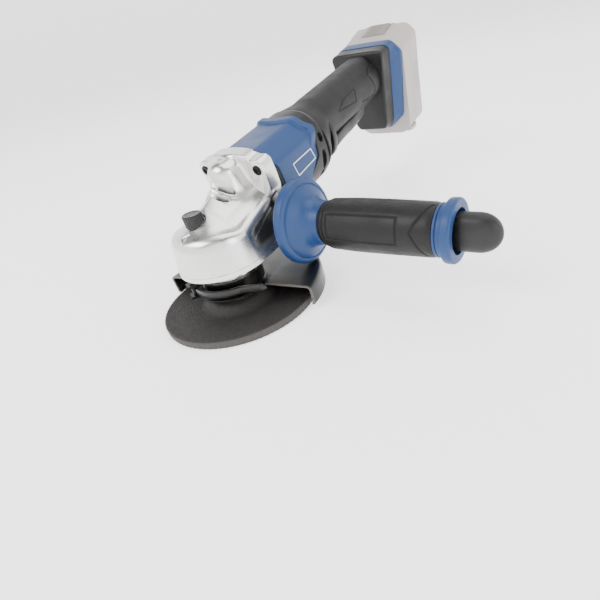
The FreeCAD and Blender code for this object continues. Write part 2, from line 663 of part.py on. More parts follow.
# ---------------------------------------------------------------- motor
def make_rotor():
    end = mm.front_bearing_start
    turned("rotor_shaft", TOOL, "Y", [
        (str(cone_reach * inner_share - 1), "0"), (str(cone_reach * inner_share - 1), "rear_journal"),
        ("front_bearing_start - 4", "rear_journal"), ("front_bearing_start - 4", "front_journal + 1.5"),
        ("front_bearing_start", "front_journal + 1.5"), ("front_bearing_start", "front_journal"),
        ("front_bearing_start + front_bearing_long + 2", "front_journal"),
        ("front_bearing_start + front_bearing_long + 2", "shaft_radius"),
        ("rear_bearing_start", "shaft_radius"), ("rear_bearing_start", "rear_journal"),
        ("rear_bearing_start + rear_bearing_long + 2", "rear_journal"),
        ("rear_bearing_start + rear_bearing_long + 2", "0")])

    def at(share, down):
        along = cone_reach * share + down * share * pitch_slope[0]
        return (0, along, pinion_pitch * share - down * share * pitch_slope[1])
    # Pitch line of the pinion in the tool frame: along the axis and out from it
    pitch_slope = (pinion_pitch / cone_long, cone_reach / cone_long)
    outer = at(1.0, TOOTH_ROOT)
    inner = at(inner_share, TOOTH_ROOT)
    bore = mm.rear_journal + mm.seat_gap
    profile = [(0, inner[1] - 0.5, bore), inner, outer, (0, outer[1] + 2, outer[2]),
               (0, end - 4.3, outer[2]), (0, end - 4.3, bore)]
    blank = Part.Face(wire(profile)).revolve(Vector(0, 0, 0), Vector(0, 1, 0), 360)
    blank = tool_shape(blank)
    axis = TOOL.Rotation.multVec(Vector(0, 1, 0))
    count = int(mm.pinion_teeth)
    teeth = [tooth(-1).rotate(APEX, axis, 360 * i / count) for i in range(count)]
    pinion = blank.multiFuse(teeth)
    shaped("bevel_pinion", pinion.cut(tool_shape(tube(bore, 0, (0, 0, 0), (0, 1, 0), 60))))

    core_start = mm.stack_start
    core_end = core_start + mm.stack_long
    core = tube(mm.armature_radius, mm.shaft_radius + mm.seat_gap, (0, core_start, 0), (0, 1, 0),
                mm.stack_long)
    slots = []
    for i in range(12):
        slot = box((-1.1, core_start, mm.armature_radius - 5), (1.1, core_end, mm.armature_radius + 1))
        slots.append(slot.rotate(Vector(0, 0, 0), Vector(0, 1, 0), 30 * i))
    shaped("armature", core.cut(Part.makeCompound(slots)), TOOL)
    coils = []
    for start in (core_start - mm.coil_long, core_end):
        coil = tube(mm.armature_radius - 2, mm.shaft_radius + 1, (0, start, 0), (0, 1, 0), mm.coil_long)
        coils.append(coil)
    for i in range(12):
        bar = box((-0.95, core_start, mm.armature_radius - 4.8), (0.95, core_end, mm.armature_radius - 2))
        coils.append(bar.rotate(Vector(0, 0, 0), Vector(0, 1, 0), 30 * i))
    shaped("armature_winding", coils[0].multiFuse(coils[1:]), TOOL)
    first = core_end + mm.coil_long + 2
    last = first + mm.commutator_long
    commutator = tube(mm.commutator_radius, mm.shaft_radius + mm.seat_gap, (0, first, 0), (0, 1, 0),
                      mm.commutator_long)
    grooves = []
    for i in range(24):
        groove = box((-0.2, first, mm.commutator_radius - 1.2), (0.2, last, mm.commutator_radius + 1))
        grooves.append(groove.rotate(Vector(0, 0, 0), Vector(0, 1, 0), 15 * i))
    shaped("commutator", commutator.cut(Part.makeCompound(grooves)), TOOL)


def make_fan():
    hub = tube(9, mm.shaft_radius + mm.seat_gap, (0, mm.fan_start, 0), (0, 1, 0), mm.fan_long)
    back = tube(mm.fan_radius, 8.5, (0, mm.fan_start, 0), (0, 1, 0), 1.6)
    blades = [hub, back]
    for i in range(11):
        blade = box((-0.7, mm.fan_start + 1, 8), (0.7, mm.fan_start + mm.fan_long, mm.fan_radius - 0.5))
        blade.rotate(Vector(0, 0, 8), Vector(0, 1, 0), 24)
        inside = tube(mm.fan_radius, 0, (0, mm.fan_start, 0), (0, 1, 0), mm.fan_long)
        blades.append(blade.rotate(Vector(0, 0, 0), Vector(0, 1, 0), 360 * i / 11).common(inside))
    shaped("cooling_fan", blades[0].multiFuse(blades[1:]), TOOL)


def make_motor_statics():
    ring("front_bearing", TOOL, "Y", "front_journal + run_gap", "front_bearing_radius", "front_bearing_start",
         "front_bearing_start + front_bearing_long")
    ring("rear_bearing", TOOL, "Y", "rear_journal + run_gap", "rear_bearing_radius", "rear_bearing_start",
         "rear_bearing_start + rear_bearing_long")
    ring("motor_can", TOOL, "Y", "can_radius - can_wall", "can_radius", "can_start",
         "can_start + can_long")
    inner = mm.armature_radius + mm.air_gap
    outer = mm.can_radius - mm.can_wall - mm.seat_gap
    magnets = []
    for middle in (0, 180):
        arc = sector(inner, outer, middle - 66, 132, mm.stack_start - 1,
                     mm.stack_start + mm.stack_long + 1)
        arc.rotate(Vector(0, 0, 0), Vector(1, 0, 0), -90)
        magnets.append(arc)
    shaped("motor_magnets", Part.makeCompound(magnets), TOOL)
    baffle = "fan_start + fan_long + 1"
    ring("fan_baffle", TOOL, "Y", "shaft_radius + 9", "can_radius", baffle, baffle + " + 2")
    start = mm.stack_start + mm.stack_long + mm.coil_long + 3
    high = mm.brush_high + 2.6
    holders = []
    brushes = []
    for side in (1, -1):
        near = mm.commutator_radius + 0.6
        left = min(side * near, side * (mm.can_radius - 1.5))
        right = max(side * near, side * (mm.can_radius - 1.5))
        case = box((left, start, -high / 2), (right, start + high, high / 2))
        case = case.cut(box((left - 1, start + 1.2, -mm.brush_high / 2 - 0.1),
                            (right + 1, start + high - 1.2, mm.brush_high / 2 + 0.1)))
        holders.append(case)
        tip = min(side * (near - 0.5), side * (mm.can_radius - 4.5))
        back = max(side * (near - 0.5), side * (mm.can_radius - 4.5))
        brushes.append(box((tip, start + 1.3, -mm.brush_high / 2),
                           (back, start + high - 1.3, mm.brush_high / 2)))
    shaped("brush_holders", Part.makeCompound(holders), TOOL)
    shaped("carbon_brushes", Part.makeCompound(brushes), TOOL)


# ---------------------------------------------------------------- housings
def eight(half, up, chamfer):
    """Corners of the faceted housing section, as expressions."""
    near = half + " - ( " + chamfer + " )"
    high = up + " - ( " + chamfer + " )"
    return [(half, high), (near, up), ("-1 * ( " + near + " )", up), ("-1 * ( " + half + " )", high),
            ("-1 * ( " + half + " )", "-1 * ( " + high + " )"),
            ("-1 * ( " + near + " )", "-1 * ( " + up + " )"),
            (near, "-1 * ( " + up + " )"), (half, "-1 * ( " + high + " )")]


def make_housings():
    seal = padded("housing_seal", TOOL, eight("housing_half - 0.6", "housing_up - 0.6", "housing_chamfer"),
                  "seal_start", "seal_thick")
    doc.recompute()
    bore = circle(seal, "XZ_Plane", "fan_radius + 1.5", "0", "0", "bore", "-1 * ( seal_start )")
    pocket(seal, bore, "seal_thick", "open")
    for name, side in (("right", "screw_side"), ("left", "-1 * screw_side")):
        hole = circle(seal, "XZ_Plane", "head_screw_radius + 0.1", side, "screw_up", name,
                      "-1 * ( seal_start )")
        pocket(seal, hole, "seal_thick", name + "_hole")

    start = "seal_start + seal_thick"
    long = "cowl_start - seal_start - seal_thick"
    housing = padded("motor_housing", TOOL, eight("housing_half", "housing_up", "housing_chamfer"), start, long)
    rim_outline = outline(housing, "XZ_Plane",
                          eight("housing_half + rim_rise", "housing_up + rim_rise", "housing_chamfer"),
                          "rim_outline", "-1 * ( cowl_start - rim_long )")
    rim = housing.newObject("PartDesign::Pad", "motor_housing_rim")
    rim.Profile = rim_outline
    rim.Reversed = True
    rim.setExpression("Length", "dim.rim_long")
    housing.Tip = rim
    doc.recompute()
    bore = circle(housing, "XZ_Plane", "can_radius + seat_gap", "0", "0", "bore", "-1 * ( " + start + " )")
    pocket(housing, bore, long, "open")
    for name, side in (("right", "screw_side"), ("left", "-1 * screw_side")):
        hole = circle(housing, "XZ_Plane", "head_screw_radius + 0.05", side, "screw_up", name,
                      "-1 * ( " + start + " )")
        pocket(housing, hole, "5", name + "_hole")

    seat = "rear_bearing_start"
    end = "rear_bearing_start + rear_bearing_long"
    cowl = turned("vent_cowl", TOOL, "Y", [
        ("cowl_start", "cowl_radius - shell_wall"), ("cowl_start", "cowl_radius - 0.5"),
        ("cowl_start + 10", "cowl_radius"), ("cowl_start + cowl_long - 8", "cowl_radius - 2"),
        ("cowl_start + cowl_long", "cowl_radius - 9"), ("cowl_start + cowl_long", "rear_bearing_radius + 1.5"),
        (end + " + 0.2", "rear_bearing_radius + 1.5"), (end + " + 0.2", "rear_bearing_radius - 2"),
        (end + " + 0.1", "rear_bearing_radius - 2"), (end + " + 0.1", "rear_bearing_radius + seat_gap"),
        (seat, "rear_bearing_radius + seat_gap"), (seat, "rear_bearing_radius + 4.5"),
        (seat + " + 2", "cowl_radius - shell_wall - 3")])
    doc.recompute()
    slot = outline(cowl, "XZ_Plane", [("3", "cowl_radius - 9"), ("6", "cowl_radius - 9"),
                                      ("6", "cowl_radius + 4"), ("3", "cowl_radius + 4")],
                   "slot_outline", "-1 * ( cowl_start + 4 )")
    cut = pocket(cowl, slot, "9", "slot")
    polar(cowl, cut, slot, 18, "N_Axis", "slots")


PADDLE_GAP = 0.6
SHELL_SCREW_SPOTS = [(mm.cowl_start + mm.cowl_long + 12, 8), (mm.foot_start - 8, 6)]


def make_grip():
    """Hollow grip: a rounded tube with a long opening underneath for the paddle."""
    start = mm.cowl_start + mm.cowl_long
    outer = lofted([rounded(mm.grip_half + 1.5, mm.grip_top + 0.5, mm.grip_low + 4, mm.grip_corner, start),
                    rounded(mm.grip_half, mm.grip_top, mm.grip_low, mm.grip_corner, start + 20),
                    rounded(mm.grip_half, mm.grip_top, mm.grip_low, mm.grip_corner, mm.foot_start)])
    wall = mm.shell_wall
    inner = lofted([rounded(mm.grip_half + 1.5 - wall, mm.grip_top + 0.5 - wall, mm.grip_low + 4 - wall,
                            mm.grip_corner - wall, start - 0.01),
                    rounded(mm.grip_half - wall, mm.grip_top - wall, mm.grip_low - wall,
                            mm.grip_corner - wall, start + 20),
                    rounded(mm.grip_half - wall, mm.grip_top - wall, mm.grip_low - wall,
                            mm.grip_corner - wall, mm.foot_start + 0.01)])
    half = mm.paddle_half + PADDLE_GAP
    opening = box((-half, mm.paddle_start - 3.5, -mm.grip_low - 8),
                  (half, mm.paddle_start + mm.paddle_long + 2, -mm.grip_low + 6))
    shell = outer.cut(inner).cut(opening)
    # Ears inside the shell that carry the paddle's pin
    ears = []
    pivot_y = mm.paddle_start + mm.paddle_long - 5
    for side in (1, -1):
        low = min(side * half, side * (mm.grip_half - wall + 0.4))
        high = max(side * half, side * (mm.grip_half - wall + 0.4))
        ears.append(box((low, pivot_y - 5, -5.5), (high, pivot_y + 5, 3.5)))
    bosses = []
    screw_cuts = []
    for y, z in SHELL_SCREW_SPOTS:
        bosses.append(tube(4.5, 0, (1.5 - mm.grip_half, y, z), (1, 0, 0), 12))
        screw_cuts.append(tube(2.05, 0, (-mm.grip_half - 1, y, z), (1, 0, 0), 20))
        screw_cuts.append(tube(3.5, 0, (-mm.grip_half - 3, y, z), (1, 0, 0), 5.2))
    shell = shell.multiFuse(ears + bosses).cut(screw_cuts)
    pin_hole = tube(mm.paddle_pin_radius + mm.run_gap, 0, (-60, pivot_y, -mm.paddle_pin_low), (1, 0, 0), 120)
    shell = shell.cut(pin_hole.common(box((-19.5, 0, -60), (19.5, 400, 60))))
    shaped("grip_shell", shell, TOOL)
    shaped("paddle_pin", tube(mm.paddle_pin_radius, 0, (-18.9, pivot_y, -mm.paddle_pin_low), (1, 0, 0), 37.8),
           TOOL)


def make_paddle():
    """Curved paddle under the grip, hinged on its rear pin."""
    half = mm.paddle_half
    first = mm.paddle_start
    last = mm.paddle_start + mm.paddle_long
    low = -mm.grip_low - mm.paddle_deep
    side = [(-half, first + 2, -mm.grip_low + 3), (-half, first, low + 2), (-half, first + 12, low),
            (-half, last - 22, low + 2.5), (-half, last - 2, -mm.grip_low + 0.5),
            (-half, last - 1, -mm.grip_low + 3)]
    blade = prism(side, (2 * half, 0, 0))
    hollow_side = [(-half + 2, first + 10, -mm.grip_low + 4), (-half + 2, first + 12, low + 2.5),
                   (-half + 2, last - 22, low + 5), (-half + 2, last - 8, -mm.grip_low + 4)]
    blade = blade.cut(prism(hollow_side, (2 * half - 4, 0, 0)))
    pivot_y = last - 5
    ears = []
    for x in (-half, half - 3):
        ears.append(box((x, pivot_y - 3.5, -mm.grip_low + 2), (x + 3, pivot_y + 3.5, 1.5)))
    tab_slot = box((-8.3, first - 1, low - 1), (8.3, first + 9, -mm.grip_low + 6))
    blade = blade.cut(tab_slot).multiFuse(ears)
    blade = blade.cut(tube(mm.paddle_pin_radius + 2 * mm.run_gap, 0, (-60, pivot_y, -mm.paddle_pin_low),
                           (1, 0, 0), 120))
    tab_y = first + 12
    tab_z = -mm.grip_low - 1
    blade = blade.cut(tube(mm.tab_axle_radius + mm.seat_gap, 0, (-60, tab_y, tab_z), (1, 0, 0), 120).common(
        box((-11, 0, -60), (11, 400, 60))))
    blade = blade.cut(box((-8.3, first + 8, -mm.grip_low - 5.5), (8.3, first + 15, -mm.grip_low + 6)))
    shaped("paddle_switch", blade, TOOL)
    tab = prism([(-8, first + 3.5, -mm.grip_low + 1.5), (-8, first - 3, low - 4), (-8, first - 0.5, low - 4.5),
                 (-8, first + 8, -mm.grip_low - 3.2), (-8, first + 14, -mm.grip_low - 3.2),
                 (-8, first + 14, -mm.grip_low + 1.2)], (16, 0, 0))
    axle = tube(mm.tab_axle_radius, 0, (-10.8, tab_y, tab_z), (1, 0, 0), 21.6)
    shaped("lock_off_tab", tab.fuse(axle), TOOL)


def make_switch_parts():
    first = mm.paddle_start
    module = box((-9, first + 22, -6), (9, first + 50, 10))
    module = module.fuse(box((-3, first + 30, -13.5), (3, first + 38, -6)))
    side = mm.grip_half - mm.shell_wall - mm.seat_gap
    carrier = box((-side, first + 24, 10), (side, first + 48, 12))
    shaped("switch_module", module.fuse(carrier), TOOL)
    board = box((-17, first + 54, 14), (17, first + 88, 16))
    board = board.multiFuse([box((-12, first + 58, 16), (-4, first + 68, 20)),
                             box((2, first + 60, 16), (12, first + 80, 19)),
                             box((0.5 - side, first + 60, 14), (side - 0.5, first + 64, 15.5))])
    shaped("control_board", board, TOOL)
    # The paddle's return spring stands between the switch carrier and the paddle.
    low = -mm.grip_low - mm.paddle_deep + 3.7
    high = -6.3
    coil = Part.makeHelix((high - low - 1) / 5, high - low - 1, 3)
    coil.translate(Vector(0, first + 26, low + 0.5))
    section = Part.Wire(Part.makeCircle(0.4, Vector(3, first + 26, low + 0.5), Vector(0, 1, 0.1)))
    shaped("paddle_spring", Part.Wire(coil).makePipeShell([section], True, True), TOOL)


# ---------------------------------------------------------------- foot and battery
def pack_section(half, up, low, chamfer, shrink, y):
    """Battery foot outline: big facets at the top, narrower at the bottom."""
    return [(half, y, up - chamfer), (half - chamfer, y, up), (chamfer - half, y, up),
            (-half, y, up - chamfer), (-half, y, 12 - low), (shrink - half, y, -low),
            (half - shrink, y, -low), (half, y, 12 - low)]


BEZEL_SHRINK = 9


def make_foot():
    """Flared foot: from the grip's end out to the bezel, hollow, with a rear wall that
    holds the battery channel."""
    wall = mm.shell_wall
    corner = mm.grip_corner
    near = mm.bezel_start
    outer = lofted([rounded(mm.grip_half, mm.grip_top - 1, mm.grip_low, corner, mm.foot_start),
                    rounded(mm.foot_half - 3, mm.bezel_top - 4, mm.bezel_low - 16, corner - 3, near - 12),
                    rounded(mm.foot_half, mm.bezel_top - 3, mm.bezel_low - 5, corner - 7, near)])
    inner = lofted([rounded(mm.grip_half - wall, mm.grip_top - 1 - wall, mm.grip_low - wall, corner - wall,
                            mm.foot_start - 0.01),
                    rounded(mm.foot_half - 3 - wall, mm.bezel_top - 4 - wall, mm.bezel_low - 16 - wall,
                            corner - 3 - wall, near - 12),
                    rounded(mm.foot_half - wall, mm.bezel_top - 3 - wall, mm.bezel_low - 5 - wall,
                            corner - 7 - wall, near - 1.5)])
    window = box((-12, near - 3, -14), (12, near + 1, 8))
    foot = outer.cut(inner).cut(window)
    shaped("battery_foot", foot, TOOL)
    shaped("terminal_block", box((-11.7, near - 8, -13.7), (11.7, near + 0.6, 7.7)), TOOL)


def rail(half, lip, deep, low, high, y, gap):
    """The battery's tongue, or the room for it: a neck with lips on both sides."""
    start = y - deep - gap
    neck = box((-half - gap, start, low), (half + gap, y, high))
    lips = box((-half - lip - gap, start, low), (half + lip + gap, y - deep / 2 + gap, high))
    return neck.fuse(lips)


def make_bezel():
    start = mm.bezel_start
    ring_part = lofted([wire(pack_section(mm.bezel_half - 4, mm.bezel_top - 2.5, mm.bezel_low - 3.5,
                                          mm.bezel_chamfer, BEZEL_SHRINK, start)),
                        wire(pack_section(mm.bezel_half, mm.bezel_top, mm.bezel_low, mm.bezel_chamfer,
                                          BEZEL_SHRINK, mm.bezel_rear - 4)),
                        wire(pack_section(mm.bezel_half, mm.bezel_top, mm.bezel_low, mm.bezel_chamfer,
                                          BEZEL_SHRINK, mm.bezel_rear))])
    room = rail(mm.rail_half, mm.rail_lip, mm.rail_deep, -mm.bezel_low + 9, mm.bezel_top + 5, mm.bezel_rear,
                mm.slide_gap)
    window = box((-12, start - 1, -14), (12, mm.bezel_rear, 8))
    shaped("foot_bezel", ring_part.cut(room).cut(window), TOOL)
    # Upright blades that the battery's sockets slide over
    blades = [box((x - 0.4, start + 0.6, -11), (x + 0.4, mm.bezel_rear + 1.5, 4)) for x in (-8, -3, 3, 8)]
    shaped("contact_blades", Part.makeCompound(blades), TOOL)


def make_battery():
    near = mm.bezel_rear + mm.slide_gap
    far = mm.bezel_rear + mm.pack_deep
    half = mm.bezel_half - 0.5
    up = mm.bezel_top + 1
    low = mm.bezel_low + 5
    sections = [wire(pack_section(half, up, low, mm.bezel_chamfer, BEZEL_SHRINK, near)),
                wire(pack_section(half, up + 4, low, mm.bezel_chamfer, BEZEL_SHRINK, near + 16)),
                wire(pack_section(half, up + 4, low, mm.bezel_chamfer, BEZEL_SHRINK, far - 5)),
                wire(pack_section(half - 4, up, low - 4, mm.bezel_chamfer, BEZEL_SHRINK, far))]
    wall = mm.pack_wall
    case = lofted(sections)
    room = lofted([wire(pack_section(half - wall, up - wall - 3, low - wall, mm.bezel_chamfer,
                                     BEZEL_SHRINK, near + wall)),
                   wire(pack_section(half - wall, up - wall - 3, low - wall, mm.bezel_chamfer,
                                     BEZEL_SHRINK, far - 5)),
                   wire(pack_section(half - wall - 2.5, up - wall - 4, low - wall - 3, mm.bezel_chamfer,
                                     BEZEL_SHRINK, far - wall))])
    tongue = rail(mm.rail_half, mm.rail_lip, mm.rail_deep, -mm.bezel_low + 10, mm.bezel_top - 0.5,
                  near, 0)
    slots = [box((x - 0.9, near - mm.rail_deep - 1, -mm.bezel_low - 10), (x + 0.9, near + wall + 0.5, 6))
             for x in (-8, -3, 3, 8)]
    latch_well = latch_shape(near, up, 0.3)
    case = case.fuse(tongue).cut(room).cut(Part.makeCompound(slots + [latch_well]))
    feet = [box((x - 6, near + 4, -low - 1.6), (x + 6, near + 12, -low + 0.2)) for x in (-14, 14)]
    feet += [box((x - 6, far - 14, -low - 1.6), (x + 6, far - 8, -low + 0.2)) for x in (-14, 14)]
    shaped("battery_case", case.multiFuse(feet), TOOL)
    shaped("battery_latch", latch_shape(near, up, 0), TOOL)
    layer = [near + wall + 0.6 + mm.cell_radius, far - wall - 0.6 - mm.cell_radius]
    spots = [(layer[1], -mm.bezel_low + 17 + 2 * (mm.cell_radius + 0.3) * i) for i in range(3)]
    spots += [(layer[0], -mm.bezel_low + 17 + 2 * (mm.cell_radius + 0.3) * i) for i in range(2)]
    cells = [tube(mm.cell_radius, 0, (-mm.cell_long / 2, y, z), (1, 0, 0), mm.cell_long) for y, z in spots]
    shaped("battery_cells", Part.makeCompound(cells), TOOL)
    clips = [box((x - 1.6, near + wall + 0.6, -9.5), (x + 1.6, near + 9, 5)) for x in (-8, -3, 3, 8)]
    carrier = box((-12, near + 9, -10.5), (12, near + 11, 6))
    shaped("battery_terminals", carrier.multiFuse(clips), TOOL)


def latch_shape(near, up, gap):
    """Release button on the slanted top of the pack; gap widens it into its well."""
    y0 = near + 3.5 - gap
    y1 = near + 14.5 + gap
    top0 = up + 4 * 3.5 / 16
    top1 = up + 4 * 14.5 / 16
    lift = 0.6 if gap == 0 else 3
    side = [(-13 - gap, y0, top0 + lift), (-13 - gap, y1, top1 + lift), (-13 - gap, y1, up - 4 - gap * 10),
            (-13 - gap, y0, up - 4 - gap * 10)]
    return prism(side, (26 + 2 * gap, 0, 0))


# ---------------------------------------------------------------- guard
def make_guard():
    outer = mm.guard_radius
    sheet = mm.guard_sheet
    inner = mm.neck_radius + mm.slide_gap + mm.band_wall + mm.seat_gap
    start = mm.guard_from
    sweep = mm.guard_sweep
    plate = sector(inner, outer, start, sweep, mm.guard_top - sheet, mm.guard_top)
    skirt = sector(outer - sheet, outer, start, sweep, mm.guard_low, mm.guard_top)
    lip = sector(outer - sheet - mm.guard_lip, outer, start, sweep, mm.guard_low, mm.guard_low + sheet)
    eye = sector(inner, inner + 5, 0, 360, mm.guard_top - sheet, mm.guard_top)
    shaped("guard", fused([plate, skirt, lip, eye]))


SCREW_TURN = -160


def make_guard_clamp():
    """Split band round the neck, with ears for the lever's pin and the clamp screw."""
    inner = mm.neck_radius + mm.slide_gap
    outer = inner + mm.band_wall
    band = tube(outer, inner, (0, 0, mm.guard_top - mm.guard_sheet), (0, 0, 1),
                mm.band_top - mm.guard_top + mm.guard_sheet)
    pin_out = mm.lever_pivot_out
    ears = []
    for low, high in ((mm.guard_top + 0.3, mm.lever_low - mm.slide_gap),
                      (mm.lever_high + mm.slide_gap, mm.band_top)):
        ear = box((outer - 1, -4, low), (pin_out + 4.5, 4, high))
        ears.append(ear.rotate(Vector(0, 0, 0), Vector(0, 0, 1), mm.lever_pivot_turn))
    for low, high in ((-5.5, -1.5), (1.5, 5.5)):
        lug = box((outer - 1, low, mm.guard_top + 1), (outer + 9, high, mm.band_top - 1))
        ears.append(lug.rotate(Vector(0, 0, 0), Vector(0, 0, 1), SCREW_TURN))
    split = box((inner - 2, -1.5, 0), (outer + 12, 1.5, 60)).rotate(
        Vector(0, 0, 0), Vector(0, 0, 1), SCREW_TURN)
    hole = tube(1.55, 0, (outer + 4.5, -20, 24.5), (0, 1, 0), 40).rotate(
        Vector(0, 0, 0), Vector(0, 0, 1), SCREW_TURN)
    neck = tube(inner, 0, (0, 0, 0), (0, 0, 1), 60)
    pin_spot = polar_point(pin_out, mm.lever_pivot_turn, 0)
    pin_hole = tube(mm.lever_pin_radius + mm.run_gap, 0, (pin_spot.x, pin_spot.y, 10), (0, 0, 1), 40)
    band = band.multiFuse(ears).cut(Part.makeCompound([split, hole])).cut(neck).cut(pin_hole)
    shaped("guard_band", band)
    screw = tube(1.5, 0, (outer + 4.5, -6, 24.5), (0, 1, 0), 13)
    screw = screw.fuse(tube(3, 0, (outer + 4.5, -8.5, 24.5), (0, 1, 0), 2.9))
    screw = screw.fuse(tube(2.8, 0, (outer + 4.5, 5.6, 24.5), (0, 1, 0), 2.4))
    shaped("guard_clamp_screw", screw.rotate(Vector(0, 0, 0), Vector(0, 0, 1), SCREW_TURN))
    pin = tube(mm.lever_pin_radius, 0, (pin_spot.x, pin_spot.y, mm.guard_top + 0.4), (0, 0, 1),
               mm.band_top - mm.guard_top + 0.2)
    shaped("guard_lever_pin", pin)


def make_guard_lever():
    inner = mm.lever_radius
    outer = inner + mm.lever_wall
    low = mm.lever_low
    high = mm.lever_high
    bow = sector(inner, outer, mm.lever_pivot_turn + 9, 79, low, high)
    end_turn = mm.lever_pivot_turn + 88
    a0 = polar_point(inner, end_turn, low)
    a1 = polar_point(outer, end_turn, low)
    along = Vector(-math.sin(math.radians(end_turn)), math.cos(math.radians(end_turn)), 0)
    reach = along * 24 + Vector(a1.x, a1.y, 0).normalize() * 5
    tail = prism([tuple(a0 - along * 0.5), tuple(a1 - along * 0.5), tuple(a1 + reach),
                  tuple(a0 + reach + Vector(0.8, 0, 0))], (0, 0, high - low))
    pin_spot = polar_point(mm.lever_pivot_out, mm.lever_pivot_turn, low)
    eye = tube(4, 0, tuple(pin_spot), (0, 0, 1), high - low)
    b0 = polar_point(inner, mm.lever_pivot_turn + 9.5, low)
    b1 = polar_point(outer + 2, mm.lever_pivot_turn + 9.5, low)
    c0 = polar_point(mm.lever_pivot_out - 3.6, mm.lever_pivot_turn + 1, low)
    c1 = polar_point(mm.lever_pivot_out + 3.8, mm.lever_pivot_turn + 1, low)
    link = prism([tuple(b0), tuple(b1), tuple(c1), tuple(c0)], (0, 0, high - low))
    lever = bow.multiFuse([tail, eye, link])
    hole = tube(mm.lever_pin_radius + mm.run_gap, 0, tuple(pin_spot), (0, 0, 1), high - low)
    shaped("guard_lever", lever.cut(hole))


# ---------------------------------------------------------------- side handle and spanner
def make_handle():
    face = "boss_face + 0.3"
    bore = "core_bore"
    turned("handle_stud", HANDLE, "X", [
        (str(mm.boss_face - 12), "0"), (str(mm.boss_face - 12), "stud_radius - 0.06"),
        (face, "stud_radius - 0.06"), (face, "7"), ("boss_face + 3", "7"), ("boss_face + 3", "4.5"),
        ("boss_face + 24", "4.5"), ("boss_face + 24", "0")])
    turned("handle_flange", HANDLE, "X", [
        ("boss_face + 3.1", "4.6"), ("boss_face + 3.1", "15"), ("boss_face + 12", "18"),
        ("boss_face + 12", "handle_flange_radius - 2"), ("boss_face + 13.5", "handle_flange_radius"),
        ("boss_face + 18", "handle_flange_radius"), ("boss_face + 19", "handle_flange_radius - 5"),
        ("boss_face + 27", "handle_flange_radius - 9"), ("boss_face + 32", "grip_bar_radius - 2"),
        ("boss_face + 38", "grip_bar_radius - 2.6"), ("boss_face + 38", "core_bore + 0.6"),
        ("boss_face + 30", "core_bore - 2"), ("boss_face + 24.1", "4.6")])
    start = "boss_face + 38.1"
    turned("handle_core", HANDLE, "X", [
        (start, bore), (start, "core_bore + 1.4"), ("ring_start + 4", "core_bore + 1.4"), ("ring_start + 4", bore)])
    turned("handle_grip", HANDLE, "X", [
        (start, "core_bore + 1.5"), (start, "grip_bar_radius - 2.2"), ("boss_face + 60", "grip_bar_radius - 0.2"),
        ("boss_face + 85", "grip_bar_radius"), ("boss_face + 112", "grip_bar_radius - 0.8"),
        ("ring_start - 0.1", "grip_bar_radius - 1.6"), ("ring_start - 0.1", "core_bore + 1.5")])
    turned("handle_end_ring", HANDLE, "X", [
        ("ring_start", "core_bore + 1.5"), ("ring_start", "ring_radius - 4"), ("handle_end - 7", "ring_radius - 3.6"),
        ("handle_end - 5.5", "ring_radius"), ("handle_end", "ring_radius"), ("handle_end", "core_bore + 2"),
        ("handle_end - 7", "core_bore + 1.5")])


def make_wrench():
    """Flat two-pin spanner kept in the handle, with its rounded grip outside."""
    half = mm.wrench_half
    start = mm.handle_end - 22
    tip = mm.wrench_tip
    outer_arc = Part.Arc(Vector(tip - half, 0, half), Vector(tip, 0, 0), Vector(tip - half, 0, -half)).toShape()
    edges = [outer_arc, Part.makeLine(Vector(tip - half, 0, -half), Vector(start, 0, -half)),
             Part.makeLine(Vector(start, 0, -half), Vector(start, 0, half)),
             Part.makeLine(Vector(start, 0, half), Vector(tip - half, 0, half))]
    slab = Part.Face(Part.Wire(Part.__sortEdges__(edges))).extrude(Vector(0, 11, 0))
    slab.translate(Vector(0, -5.5, 0))
    slab = slab.makeFillet(4, [edge for edge in slab.Edges if edge.BoundBox.YLength < 0.01
                               and edge.BoundBox.XMax > start + 1])
    pocket_box = box((start - 1, -1.6, -10.2), (start + 12, 1.6, 10.2))
    shaped("wrench_grip", slab.cut(pocket_box), HANDLE)
    blade_start = mm.boss_face + 42
    blade = box((blade_start, -1.5, -10), (start + 11.5, 1.5, 10))
    blade = blade.cut(tube(6, 0, (blade_start, -3, 0), (0, 1, 0), 6))
    pins = [tube(2.2, 0, (blade_start + 5, 1.4, side * 7.5), (0, 1, 0), 4.5) for side in (1, -1)]
    shaped("wrench_blade", blade.multiFuse(pins), HANDLE)


def make_housing_screws():
    """Screws that hold the grip halves to the cowl and the foot, seen as small heads."""
    screws = []
    head = 0.5 - mm.grip_half
    for y, z in SHELL_SCREW_SPOTS:
        screw = tube(3.2, 0, (head, y, z), (1, 0, 0), 1.6)
        screws.append(screw.fuse(tube(2, 0, (head + 1.5, y, z), (1, 0, 0), 10)))
    shaped("housing_screws", Part.makeCompound(screws), TOOL)


# ---------------------------------------------------------------- build and write
make_disc()
make_nut()
make_flange()
make_spindle()
make_bevel_gear()
make_bearing_plate()
make_plate_screws()
make_gear_head()
make_head_screws()
make_spindle_bearings()
make_lock()
make_rotor()
make_fan()
make_motor_statics()
make_housings()
make_grip()
make_paddle()
make_switch_parts()
make_foot()
make_bezel()
make_battery()
make_guard()
make_guard_clamp()
make_guard_lever()
make_handle()
make_wrench()
make_housing_screws()
doc.recompute()

for item in doc.Objects:
    if "Invalid" in item.State or "Error" in item.State:
        raise ValueError("%s is %s" % (item.Label, item.State))
for node in nodes:
    if node.Shape.isNull() or not node.Shape.isValid():
        raise ValueError(node.Label + " has no valid shape")
for node in nodes:
    node.Shape.exportStep("parts/" + node.Label + ".step")
    print(node.Label, len(node.Shape.Solids), round(node.Shape.Volume, 1))
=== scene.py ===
"""Cordless angle grinder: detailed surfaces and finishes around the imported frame."""
import json
import math

